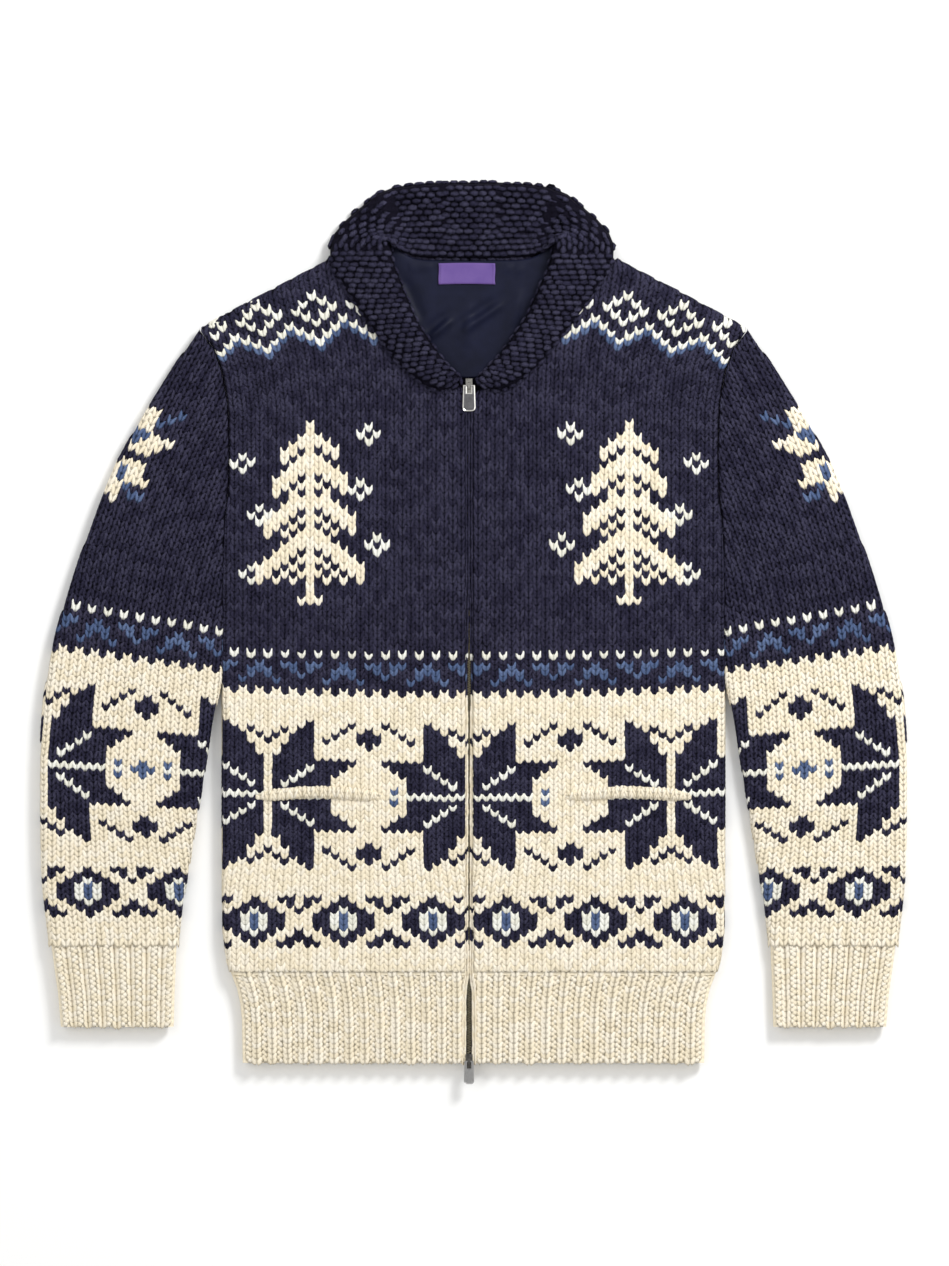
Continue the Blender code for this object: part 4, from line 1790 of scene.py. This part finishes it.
@dataclass
class MossCollar:
    """The shawl collar in moss stitch: purl bumps in staggered rows along its length."""

    # Columns: inner edge x and y, outer edge x and y, from the zip to the middle of the back neck.
    sections: Sequence[tuple[float, float, float, float]] = (
        (7.6, 225.6, 13.0, 220.6),
        (9.6, 231.6, 30.0, 217.8),
        (14.0, 236.0, 45.0, 226.0),
        (23.0, 245.4, 63.0, 242.0),
        (35.5, 261.5, 75.0, 257.5),
        (48.8, 282.0, 92.5, 279.0),
        (58.0, 303.0, 108.0, 302.0),
        (66.0, 322.0, 123.0, 324.0),
        (71.5, 337.5, 127.4, 337.2),
        (72.5, 351.0, 127.8, 350.0),
        (71.0, 354.0, 123.5, 360.5),
        (69.0, 350.0, 113.5, 372.0),
        (66.0, 346.0, 101.5, 382.5),
        (61.0, 341.5, 86.0, 395.4),
        (53.0, 338.0, 71.0, 401.4),
        (41.0, 336.4, 50.0, 404.8),
        (22.0, 335.8, 24.0, 406.0),
        (0.0, 335.8, 0.0, 406.0),
    )
    along_pitch: float = 8.0
    across_pitch: float = 5.2
    bump: tuple[float, float, float] = (4.5, 3.1, 2.1)
    # Up to this Y the ridges run across the collar, and behind it along its length.
    ridges_turn: float = 342.0
    # The collar's underside shows behind the neck only.
    under_from: float = 338.0
    # Columns: Y, distance from the middle at which the roll overlaps the part behind the neck.
    overlap: Sequence[tuple[float, float]] = ((343.0, 66.0), (356.0, 70.0), (398.0, 84.0))
    # Shares by which the cloth sinks beside the overlap, swells over it and rises at its rim.
    sink: float = 0.36
    swell: float = 0.14
    rim: float = 0.12
    neck_middle: float = -1.4
    rim_y: float = 392.0
    behind_from: float = 340.0

    def settle(self, points: np.ndarray) -> np.ndarray:
        """Lets the part that stands behind the neck sink beside the rolls, which overlap it.

        Args:
            points: Points of the collar in mm.

        Returns:
            The same points, moved in height only.
        """
        y = points[:, 1]
        inwards = smooth_table(self.overlap, y) - np.abs(points[:, 0] - self.neck_middle)
        behind = np.clip((y - self.behind_from) / 8.0, 0, 1)
        low = np.clip(inwards / 9.0, 0, 1) * np.exp(-(np.maximum(inwards, 0) / 30.0) ** 2)
        high = np.clip(1 + inwards / 24.0, 0, 1) * (inwards < 0)
        rim = self.rim * np.exp(-(((y - self.rim_y) / 5.0) ** 2)) * (inwards > 0)
        settled = points.copy()
        settled[:, 2] *= 1 + behind * (self.swell * high - self.sink * low + rim)
        return settled

    def edges(self, side: int) -> tuple[np.ndarray, np.ndarray, np.ndarray]:
        """The collar's two edges on one side, and the length along its middle.

        Args:
            side: -1 on the left and 1 on the right.

        Returns:
            Inner edge, outer edge and lengths.
        """
        table = np.array(self.sections)
        shift = ZIP_X * np.clip(1.0 - (table[:, 1] - 245.0) / 150.0, 0.35, 1.0)
        inner = np.stack([side * table[:, 0] + shift, table[:, 1]], axis=-1)
        outer = np.stack([side * table[:, 2] + shift, table[:, 3]], axis=-1)
        steps = np.linalg.norm(np.diff((inner + outer) / 2, axis=0), axis=1)
        return inner, outer, np.concatenate([[0], np.cumsum(steps)])

    def bumps(self, chance: np.random.Generator) -> list[tuple[np.ndarray, np.ndarray]]:
        """Where the bumps are in plan.

        Args:
            chance: The seeded source of their unevenness.

        Returns:
            Each bump's place and its direction along the collar.
        """
        found = []
        for side in (-1, 1):
            inner, outer, length = self.edges(side)

            def across(at: float) -> tuple[np.ndarray, np.ndarray]:
                """The two ends of a line across the collar."""
                ends = [[np.interp(at, length, edge[:, k]) for k in (0, 1)] for edge in (inner, outer)]
                return np.array(ends[0]), np.array(ends[1])

            at, column = 1.5, 0
            while at < length[-1]:
                a, b = across(at)
                turned = (a[1] + b[1]) / 2 < self.ridges_turn and at < length[10]
                step, gap = self.along_pitch / 2, self.across_pitch
                if turned:
                    step, gap = gap, step
                a_next, b_next = across(min(at + 1.0, length[-1]))
                rows = max(1, round(float(np.linalg.norm(b - a)) / gap))
                for row in range(rows + 1):
                    if (row + column) % 2:
                        continue
                    share = (row + 0.15) / (rows + 0.3)
                    place = a + (b - a) * share
                    forward = a_next + (b_next - a_next) * share - place
                    forward = b - a if turned else forward
                    forward = forward / max(float(np.linalg.norm(forward)), 1e-6)
                    found.append((place + chance.normal(0, 0.3, 2), forward))
                at, column = at + step, column + 1
        return found

    def knit(self, yarn_box: YarnBox, upper: bool) -> bpy.types.Object:
        """Knits the collar's upper face, or the part of its underside that shows.

        Args:
            yarn_box: The yarns.
            upper: Which face.

        Returns:
            The bumps.
        """
        chance = np.random.default_rng(11)
        face = DropFace("collar", upper)
        mould = grain_mould(3 if upper else 1)
        points = []
        for place, along in self.bumps(chance):
            found = face.touch(float(place[0]), float(place[1]))
            if found is None or (not upper and place[1] < self.under_from):
                continue
            spot, normal = found
            t = np.array([along[0], along[1], 0.0])
            t = t - normal * t.dot(normal)
            t = t / max(float(np.linalg.norm(t)), 1e-6)
            w = np.cross(normal, t)
            size = np.array(self.bump) * (1 + 0.07 * chance.normal(0, 1, 3))
            x, y, z = (mould.points[:, k : k + 1] for k in range(3))
            around = y * size[0] * t + x * size[1] * w + z * size[2] * normal
            bump = spot + normal * 0.5 + around
            points.append(self.settle(bump) if upper else bump)
        heap = MeshHeap()
        slots = yarn_box.shades(np.zeros(len(points), int), chance)
        heap.add_copies(mould, np.array(points), slots)
        name = "collar_moss_stitches" if upper else "collar_under_stitches"
        piece = heap.build(name, yarn_box.materials)
        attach(piece, BODY_ROOT)
        LOG.info("%s: %d bumps", name, len(points))
        return piece


@dataclass
class Crease:
    """A soft fold of the lining between two pixels of the photograph."""

    start: tuple[float, float]
    end: tuple[float, float]
    width: float
    height: float

    def raise_at(self, x: np.ndarray, y: np.ndarray) -> np.ndarray:
        """How far the fold lifts the cloth at places in mm.

        Args:
            x: Places across.
            y: Places along.

        Returns:
            A height for each place.
        """
        a, b = np.array(photo_mm(*self.start)), np.array(photo_mm(*self.end))
        along = b - a
        length = float(np.linalg.norm(along))
        share = ((x - a[0]) * along[0] + (y - a[1]) * along[1]) / length**2
        clipped = np.clip(share, 0, 1)
        away = np.hypot(x - a[0] - along[0] * clipped, y - a[1] - along[1] * clipped)
        fade = np.sin(np.clip(clipped, 0.05, 0.95) * math.pi)
        return self.height * fade * np.exp(-((away / self.width) ** 2))


@dataclass
class NeckLining:
    """The woven lining that shows inside the neck, a thin sheet with its creases."""

    creases: Sequence[Crease] = (
        Crease((402, 275), (424, 322), 4.5, -1.6),
        Crease((395, 280), (416, 322), 4.0, 1.6),
        Crease((454, 317), (428, 340), 3.5, 1.8),
        Crease((448, 312), (424, 334), 3.5, -1.2),
        Crease((507, 300), (459, 334), 3.5, 1.5),
        Crease((500, 296), (455, 326), 3.5, -1.0),
        Crease((470, 300), (466, 352), 5.0, 1.1),
        Crease((520, 285), (512, 330), 4.0, 1.0),
        Crease((412, 262), (415, 274), 1.6, 0.9),
        Crease((420, 262), (423, 272), 1.6, 0.9),
        Crease((428, 262), (429, 271), 1.5, 0.8),
        Crease((508, 263), (506, 274), 1.6, 0.9),
        Crease((520, 264), (517, 276), 1.6, 0.8),
    )
    # Columns: distance from the middle, Y of the collar's inner edge.
    collar_edge: Sequence[tuple[float, float]] = (
        (0.0, 335.0),
        (41.0, 335.6),
        (53.0, 337.4),
        (61.0, 341.0),
        (66.0, 345.5),
        (69.0, 349.4),
        (71.0, 350.0),
        (73.5, 340.0),
        (76.0, 333.5),
    )
    columns: int = 60
    rows: int = 64
    # Heights in mm: its edges, how far it puffs up inside them, and its deepest crease. Creases are
    # lifted by the gain, so that they show from above.
    low: float = 6.35
    puff: float = 0.9
    deepest: float = -1.6
    gain: float = 2.4
    # How far in from its edges the sheet becomes free.
    sewn: float = 6.0

    def build(self) -> bpy.types.Object:
        """Makes the lining.

        Returns:
            The sheet.
        """
        face = ClothFace("lining", rolled=False)
        deselect_all()
        bpy.ops.mesh.primitive_grid_add(x_subdivisions=self.columns, y_subdivisions=self.rows, size=1)
        piece = bpy.context.active_object
        piece.name = "neck_lining"
        shares = np.array([v.co for v in piece.data.vertices]) + 0.5
        y = face.ys[0] + (face.ys[-1] - face.ys[0]) * shares[:, 1]
        left, right = (np.interp(y, face.ys, side) for side in (face.starts, face.ends))
        x = left + (right - left) * shares[:, 0]
        # At the neck's corners the lining goes on up to the collar's inner edge.
        away, reach = np.array(self.collar_edge).T
        top = np.interp(np.abs(x + 1.5), away, reach)
        share_up = np.clip((shares[:, 1] - 0.75) / 0.25, 0, 1)
        y = y + (top - face.ys[-1]) * share_up
        from_edge = np.minimum.reduce([x - left, right - x, top - y + 2.0])
        calm = np.clip(from_edge / self.sewn, 0, 1)
        lift = self.gain * sum(crease.raise_at(x, y) for crease in self.creases) * calm
        z = self.low + np.maximum(lift, self.deepest) + self.puff * calm
        for vertex, spot in zip(piece.data.vertices, np.stack([x, y, z], axis=-1) * MM):
            vertex.co = spot
        thicken(piece, 0.9, -1.0)
        # Polyester twill: 1.2 mm lines stand for the fine ones that wouldn't show.
        lining = WovenCloth("navy_twill_lining", ("#0e1122", "#15182d"), 1.2, 0.5, 0.0, 0.9, 0.12)
        piece.data.materials.append(lining.material())
        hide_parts("lining")
        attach(piece, BODY_ROOT)
        LOG.info("%s: %d creases", piece.name, len(self.creases))
        return piece

    @staticmethod
    def declare(piece: bpy.types.Object) -> None:
        """Does nothing."""


@dataclass
class NeckLabel:
    """A blank woven label, with its ends folded under and stitched down."""

    middle: tuple[float, float] = (-6.0, 323.5)
    size: tuple[float, float] = (51.0, 19.0)
    low: float = 7.5
    thick: float = 0.7

    def build(self) -> list[bpy.types.Object]:
        """Makes the label and its sewing.

        Returns:
            The label and the stitches.
        """
        deselect_all()
        bpy.ops.mesh.primitive_grid_add(x_subdivisions=34, y_subdivisions=12, size=1)
        label = bpy.context.active_object
        label.name = "neck_label_cloth"
        for vertex in label.data.vertices:
            u, v = vertex.co.x, vertex.co.y
            # The ends are thicker where they are folded, and the loose lower edge lifts a little.
            fold = 0.35 * min(1.0, max(0.0, (abs(u) - 0.43) / 0.03))
            curl = 0.5 * max(0.0, -v) * (0.4 + math.cos(u * 5.0) ** 2)
            x = self.middle[0] + u * self.size[0] + 0.25 * math.sin(v * 7.0)
            y = self.middle[1] + v * self.size[1] + 0.3 * math.cos(u * 4.2)
            vertex.co = Vector((x, y, self.low + self.thick + fold + curl)) * MM
        thicken(label, self.thick, -1.0)
        # Damask-woven polyester: a slight silky gloss over 0.9 mm threads, as fine as shows.
        satin = WovenCloth("violet_woven_label", ("#583f84", "#644b8c"), 0.9, 0.5, 0.25)
        label.data.materials.append(satin.material())
        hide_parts("neck_label")
        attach(label, BODY_ROOT)
        threads = self.sew()
        self.flat()
        LOG.info("%s: blank, with %s", label.name, threads.name)
        return [label, threads]

    def flat(self) -> tuple[float, float]:
        """The label's cut, in metres, without the ends that are folded under."""
        return (self.size[0] * MM, self.size[1] * MM)

    def sew(self) -> bpy.types.Object:
        """Sews the two folded ends with short stitches.

        Returns:
            The stitches.
        """
        mould = grain_mould(1)
        heap = MeshHeap()
        points = []
        for end in (-1, 1):
            for k in range(7):
                x = self.middle[0] + end * self.size[0] * 0.462
                y = self.middle[1] + (k - 3) * 2.5
                grain = mould.points * np.array([0.28, 0.95, 0.25])
                points.append(grain + np.array([x, y, self.low + self.thick + 0.42]))
        heap.add_copies(mould, np.array(points), np.zeros(len(points), int))
        thread = WovenCloth("violet_sewing_thread", ("#4d3672", "#5d4484"), 0.5, 0.7)
        piece = heap.build("neck_label_sewing", [thread.material()])
        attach(piece, BODY_ROOT)
        return piece


@dataclass
class PocketWelt:
    """The rolled knitted edge of a slit pocket."""

    node: str
    side: int
    middle_x: float = 139.0
    middle_y: float = -147.5
    length: float = 114.0
    rise: float = 4.2

    def lattice(self, wales: np.ndarray, courses: np.ndarray) -> tuple[np.ndarray, np.ndarray]:
        """Turns (wale, course) to (s, y) along the curved welt.

        Args:
            wales: The wales.
            courses: The courses.

        Returns:
            Places across and along.
        """
        x = self.side * self.middle_x + wales * 7.6
        share = np.clip((x - self.side * self.middle_x) / self.length + 0.5, 0, 1)
        return x, self.middle_y + self.rise * np.sin(math.pi * share) + courses * 4.6

    def knit(self, yarn_box: YarnBox) -> bpy.types.Object:
        """Knits the welt.

        Args:
            yarn_box: The yarns.

        Returns:
            The stitches.
        """
        wales, courses = np.meshgrid(np.arange(-7.0, 8.0), np.arange(-1.0, 2.0))
        wales, courses = wales.ravel(), courses.ravel()
        yarns = np.full(len(wales), CREAM_PLACE)
        heap = MeshHeap()
        leg = LegShape(0.07, 0.43, 0.95, 0.225, 0.8, 0.5, 0.3)
        face = DropFace(self.node)
        knitter = Knitter(yarn_box, leg, 3, 31 + self.side)
        knitter.lay(heap, face, self.lattice, StitchSet(wales, courses, yarns))
        piece = heap.build(f"{self.node}_stitches", yarn_box.materials)
        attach(piece, BODY_ROOT)
        LOG.info("%s: %d stitches", piece.name, len(wales))
        return piece


@dataclass
class FrontEdges:
    """The knitted edges that roll over the zip and nearly meet."""

    # Columns: Y, half of the gap between the two edges.
    gap: Sequence[tuple[float, float]] = (
        (-386.0, 2.6),
        (-326.0, 2.3),
        (-317.0, 1.4),
        (-309.0, 0.1),
        (-288.0, 0.1),
        (-276.0, 0.55),
        (-75.0, 0.75),
        (-62.0, 1.35),
        (-27.0, 1.45),
        (-15.0, 0.45),
        (-4.0, 0.1),
        (28.0, 0.0),
        (40.0, -0.8),
        (208.0, -0.8),
        (214.0, 0.8),
    )
    # The courses of the chain: those of the rib are below 0.
    courses: tuple[int, int] = (-17, 96)
    rib_row: float = 4.7
    # How far each of a loop's two strands lies out from the edge, and where its middle is in height.
    spreads: tuple[float, float] = (1.15, 3.3)
    heights: tuple[float, float] = (9.3, 10.2)
    strand: tuple[float, float, float] = (1.25, 0.95, 1.1)

    def knit(self, yarn_box: YarnBox, chart: Chart) -> bpy.types.Object:
        """Knits a chain of loops down each edge.

        Args:
            yarn_box: The yarns.
            chart: The body's chart, whose wale 0 gives the colours.

        Returns:
            The loops.
        """
        chance = np.random.default_rng(41)
        mould = grain_mould(3)
        courses = np.arange(*self.courses)
        ys = smooth_table(BODY_COURSES, courses)
        ys = np.where(courses < 0, BODY_COURSES[0][1] + courses * self.rib_row, ys)
        pitch = np.gradient(ys)
        heap = MeshHeap()
        for side in (-1, 1):
            points, yarns = [], []
            for course, y, step in zip(courses, ys, pitch):
                half = float(smooth_table(self.gap, y))
                kind = chart.yarn(0, int(course)) if course >= 0 else Yarn.CREAM
                yarns.append(list(Yarn).index(kind))
                for spread, height, lean in zip(self.spreads, self.heights, (-0.3, 0.5)):
                    x = half + spread + chance.normal(0, 0.14)
                    z = height + max(0.0, -0.6 * half) + chance.normal(0, 0.1)
                    wide, long, deep = self.strand
                    grain = mould.points * np.array([wide, step * long, deep])
                    grain[:, 0] += lean * mould.points[:, 1]
                    spot = np.array([x, y + chance.normal(0, 0.2), z])
                    points.append((grain + spot) * np.array([side, 1, 1]) + np.array([ZIP_X, 0, 0]))
            slots = np.repeat(yarn_box.shades(np.array(yarns), chance), 2)
            heap.add_copies(mould, np.array(points), slots)
        piece = heap.build("front_edge_loops", yarn_box.materials)
        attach(piece, BODY_ROOT)
        LOG.info("%s: %d courses", piece.name, len(courses))
        return piece


@dataclass
class TwoWayZip:
    """The zip: woven tapes, cast teeth, and the CAD's sliders and pulls with a plated finish."""

    low: float = -382.0
    high: float = 222.0
    pitch: float = 2.2
    # X of the tape's inner edge from the zip's middle, its width that shows, and its height.
    tape_from: float = 0.2
    tape_width: float = 2.75
    tape_level: float = 7.55
    # Size of a tooth, its bevel, and where its middle is from the zip's middle and in height.
    tooth: tuple[float, float, float] = (2.0, 1.15, 1.3)
    tooth_bevel: float = 0.2
    tooth_from: float = 0.75
    tooth_level: float = 8.5
    # How wide a pull's rim is, and how far its faces are sunk.
    rim_width: float = 1.0
    sunk: float = 0.35

    def build(self) -> None:
        """Dresses the zip."""
        # Nylon tape, plain woven; 0.8 mm threads show as fine ribs.
        tape = WovenCloth("black_zip_tape", ("#08080c", "#101016"), 0.8, 0.8).material()
        for side in ("left", "right"):
            self.tape(side, tape)
        teeth = self.teeth()
        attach(teeth, BODY_ROOT)
        # Nickel-plated zinc, polished: bright, with soft broken reflections.
        nickel = PlatedMetal("polished_nickel_plate", ("#8a8883", "#a9a7a1"), (0.2, 0.38)).material()
        # The same, brushed along the pull: grey and half dull.
        brushed = PlatedMetal("brushed_nickel_plate", ("#8c8b8b", "#aeadab"), (0.3, 0.5), True).material()
        dark = PlatedMetal("gunmetal_plate", ("#4a4845", "#6b6863"), (0.25, 0.45)).material()
        finish = {"zip_slider_top": nickel, "zip_slider_bottom": dark}
        for node, metal in finish.items():
            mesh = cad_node(node).data
            mesh.materials.clear()
            mesh.materials.append(metal)
            LOG.info("%s: %s", node, metal.name)
        # The rim takes a near-white plate and the sunk faces a dark grey one.
        matte = PlatedMetal("satin_nickel_plate", ("#5b5a5d", "#6d6c6e"), (0.4, 0.6)).material()
        bright = PlatedMetal("bright_nickel_plate", ("#cfccc6", "#e9e7e2"), (0.15, 0.3)).material()
        self.pull("top", bright, matte)
        self.pull("bottom", brushed, brushed)

    def pull(self, end: str, rim: bpy.types.Material, face: bpy.types.Material) -> None:
        """Makes a pull tab with a raised rim round each of its two faces and round its window.

        Args:
            end: Which end's pull, "top" or "bottom".
            rim: The metal of its rim and sides.
            face: The metal of the sunk faces.
        """
        node = f"zip_pull_{end}"
        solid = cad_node(node)
        piece = solid_copy(node, f"{node}_tab", [rim, face])
        piece.matrix_world = solid.matrix_world.copy()
        deselect_all()
        piece.select_set(True)
        bpy.context.view_layer.objects.active = piece
        bpy.ops.object.transform_apply(location=True, rotation=True, scale=True)
        bpy.ops.object.mode_set(mode="EDIT")
        bpy.ops.mesh.select_mode(type="FACE")
        for way in (1, -1):
            bpy.ops.mesh.select_all(action="DESELECT")
            bpy.ops.object.mode_set(mode="OBJECT")
            for polygon in piece.data.polygons:
                polygon.select = polygon.normal.z * way > 0.9
            bpy.ops.object.mode_set(mode="EDIT")
            bpy.ops.mesh.inset(thickness=self.rim_width * MM, depth=-self.sunk * MM)
            bpy.ops.object.mode_set(mode="OBJECT")
            for polygon in piece.data.polygons:
                if polygon.select:
                    polygon.material_index = 1
            bpy.ops.object.mode_set(mode="EDIT")
        bpy.ops.object.mode_set(mode="OBJECT")
        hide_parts(node)
        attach(piece, f"pull_{end}")
        LOG.info("%s: rimmed", piece.name)

    def tape(self, side: str, cloth: bpy.types.Material) -> None:
        """Makes one tape with the corded edge that carries its teeth.

        Args:
            side: left or right.
            cloth: The tape's material.
        """
        sign = -1 if side == "left" else 1
        deselect_all()
        bpy.ops.mesh.primitive_grid_add(x_subdivisions=6, y_subdivisions=160, size=1)
        piece = bpy.context.active_object
        piece.name = f"zip_tape_{side}_cloth"
        for vertex in piece.data.vertices:
            u, v = vertex.co.x + 0.5, vertex.co.y
            cord = 0.35 * math.exp(-(((u - 0.12) / 0.14) ** 2))
            wave = 0.12 * math.sin(v * 60.0 + u)
            x = ZIP_X + sign * (self.tape_from + self.tape_width * u)
            y = (self.low + self.high) / 2 + v * (self.high - self.low - 1.0)
            vertex.co = Vector((x, y, self.tape_level + cord + wave)) * MM
        bpy.ops.object.mode_set(mode="EDIT")
        bpy.ops.mesh.select_all(action="SELECT")
        bpy.ops.mesh.normals_make_consistent(inside=False)
        bpy.ops.object.mode_set(mode="OBJECT")
        thicken(piece, 0.6, 0.0)
        piece.data.materials.append(cloth)
        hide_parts(f"zip_tape_{side}")
        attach(piece, BODY_ROOT)
        LOG.info("%s: woven", piece.name)

    def teeth(self) -> bpy.types.Object:
        """Makes the teeth, in two rows that mesh.

        Returns:
            The joined teeth.
        """
        deselect_all()
        bpy.ops.mesh.primitive_cube_add(size=1)
        tooth = bpy.context.active_object
        bpy.ops.object.mode_set(mode="EDIT")
        bpy.ops.mesh.select_all(action="SELECT")
        bpy.ops.transform.resize(value=self.tooth)
        bpy.ops.mesh.bevel(offset=self.tooth_bevel, segments=1)
        bpy.ops.object.mode_set(mode="OBJECT")
        points = np.array([v.co for v in tooth.data.vertices])
        faces = [tuple(p.vertices) for p in tooth.data.polygons]
        corners = [np.full((len(face), 2), 0.5) for face in faces]
        bpy.data.objects.remove(tooth, do_unlink=True)
        mould = Mould(points, faces, corners)
        heap = MeshHeap()
        ys = np.arange(self.low + 4.0, self.high - 6.0, self.pitch)
        for sign, shift in ((-1, 0.0), (1, self.pitch / 2)):
            x = np.full(len(ys), ZIP_X + sign * self.tooth_from)
            middle = np.stack([x, ys + shift, np.full(len(ys), self.tooth_level)], axis=-1)
            heap.add_copies(mould, middle[:, None] + points[None], np.zeros(len(ys), int))
        # Nickel teeth, antiqued: warm grey, mottled lighter and darker.
        metal = PlatedMetal("antique_nickel_teeth", ("#6d6654", "#989079"), (0.25, 0.45))
        piece = heap.build("zip_teeth", [metal.material()])
        for polygon in piece.data.polygons:
            polygon.use_smooth = False
        LOG.info("zip_teeth: %d teeth", 2 * len(ys))
        return piece


class Cardigan:
    """The whole garment, put together in the order that a maker would lay it out."""

    def __init__(self, yarn_box: YarnBox) -> None:
        """Makes the cloth under the stitches, whose dark colours are painted shade.

        Args:
            yarn_box: The yarns.
        """
        self.yarn_box = yarn_box
        self.leg = LegShape()
        # The navy and the cream ground are darker than their yarns: painted shade in the gaps between
        # stitches and in the collar's crevices.
        navy = KnitShadeGround("navy_wool_ground_shade", ("#0b0a13", "#14121e"))
        cream = KnitShadeGround("cream_wool_ground_shade", ("#ecdfc3", "#f2e7cf"))
        self.shade_grounds = [navy.material(), cream.material()]

    def back(self) -> None:
        """The back panel, which shows from beneath."""
        pieces = []
        for side, name in ((-1, "left"), (1, "right")):
            lattice = BodyLattice(side, middle=0.0, pivot=0)
            panel = Panel("back", BackChart(), lattice, (0, 34), (0, 128), False, 1)
            if side > 0:
                panel.wales = (1, 34)
            pieces += panel.knit(self.yarn_box, self.leg, f"back_stitches_{name}")
        shell = KnitShell(
            "back", "patterned_knit", (0.50, 0.66), 0.30, ["studio_floor"], (0, -54.0, 0)
        )
        shell.build(self.shade_grounds, pieces)

    def fronts(self) -> None:
        """The two front panels."""
        for side, name in ((-1, "front_left"), (1, "front_right")):
            covers = [Cover("collar"), Cover(f"pocket_welt_{name[6:]}")]
            panel = Panel(name, BodyChart(), BodyLattice(side), (1, 34), (-2, 128), covers=covers)
            pieces = panel.knit(self.yarn_box, self.leg, f"{name}_stitches", 2)
            shell = KnitShell(
                name, "patterned_knit", (0.245, 0.66), 0.145, ["back_cloth"], (side * 110, -56.0, 0)
            )
            shell.build(self.shade_grounds, pieces)

    def sleeves(self) -> None:
        """The two sleeves, each a flattened tube."""
        for side, name in ((-1, "sleeve_left"), (1, "sleeve_right")):
            lattice = SleeveLattice(side)
            over = Panel(name, SleeveChart(), lattice, (-26, 24), (-1, 104), rings=2)
            under = Panel(name, SleeveChart(), lattice, (-26, 24), (-1, 104), False, 1)
            pieces = over.knit(self.yarn_box, self.leg, f"{name}_stitches")
            pieces += under.knit(self.yarn_box, self.leg, f"{name}_under_stitches")
            line = (side * 304.5, -19.5, side * math.tan(math.radians(8.0)))
            shell = KnitShell(
                name, "patterned_knit", (0.40, 0.62), 0.134, ["studio_floor"], line
            )
            shell.build(self.shade_grounds, pieces)

    def ribs(self) -> None:
        """The hem and the cuffs."""
        hem = {"rib": 14.4, "bottom": -387.0}
        cuff = {"ribs": 7, "rib": 16.2, "span": 113.4, "bottom": -354.5, "row": 4.8}
        beneath = {"upper": False, "lift": 0.6, "rings": 1}
        under = RibBand("hem_back", 1, ribs=28, span=405.2, inner_fold=5.3, **hem, **beneath)
        for side, name in ((-1, "left"), (1, "right")):
            band = RibBand(f"hem_front_{name}", side, ribs=14, span=202.6, inner_fold=0.0, **hem)
            stitches = [band.knit(self.yarn_box, f"hem_front_{name}_stitches")]
            shell = KnitShell(
                f"hem_front_{name}", "cream_rib", (0.30, 0.08), 0.0165, ["hem_back_cloth"], colour=1
            )
            shell.build(self.shade_grounds, stitches)
        shell = KnitShell("hem_back", "cream_rib", (0.42, 0.08), 0.033, ["studio_floor"], colour=1)
        shell.build(self.shade_grounds, [under.knit(self.yarn_box, "hem_back_stitches")])
        for side, name in ((-1, "cuff_left"), (1, "cuff_right")):
            over = RibBand(name, side, inner_fold=5.3, from_outer=True, **cuff)
            below = RibBand(name, side, inner_fold=5.3, from_outer=True, **cuff, **beneath)
            stitches = [over.knit(self.yarn_box, f"{name}_stitches")]
            stitches.append(below.knit(self.yarn_box, f"{name}_under_stitches"))
            shell = KnitShell(name, "cream_rib", (0.25, 0.08), 0.016, ["studio_floor"], colour=1)
            shell.build(self.shade_grounds, stitches)

    def collar(self) -> None:
        """The shawl collar."""
        collar = MossCollar()
        pieces = [collar.knit(self.yarn_box, True), collar.knit(self.yarn_box, False)]
        shell = KnitShell(
            "collar", "navy_moss_knit", (0.66, 0.09), 0.031, ["front_left_cloth", "front_right_cloth"]
        )
        body = shell.build(self.shade_grounds, pieces)
        settled = collar.settle(np.array([v.co for v in body.data.vertices]) / MM)
        for vertex, place in zip(body.data.vertices, settled * MM):
            vertex.co = place

    def neck(self) -> None:
        """The lining and its label."""
        lining = NeckLining()
        piece = lining.build()
        lining.declare(piece)
        NeckLabel().build()

    def edges(self) -> None:
        """The pocket welts, the front edges and the zip."""
        for side, name in ((-1, "left"), (1, "right")):
            welt = PocketWelt(f"pocket_welt_{name}", side)
            stitches = [welt.knit(self.yarn_box)]
            shell = KnitShell(
                welt.node, "cream_knit_edge", (0.115, 0.012), 0.0013, [f"front_{name}_cloth"], colour=1
            )
            shell.build(self.shade_grounds, stitches)
        FrontEdges().knit(self.yarn_box, BodyChart())
        TwoWayZip().build()


def main() -> None:
    """Builds the cardigan's looks in order."""
    logging.basicConfig(level=logging.INFO, format="%(message)s")
    FRAME.update(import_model())
    Studio().build()
    cardigan = Cardigan(YarnBox())
    for step in (
        cardigan.back,
        cardigan.fronts,
        cardigan.sleeves,
        cardigan.ribs,
        cardigan.collar,
        cardigan.neck,
        cardigan.edges,
    ):
        step()


if __name__ == "__main__":
    main()
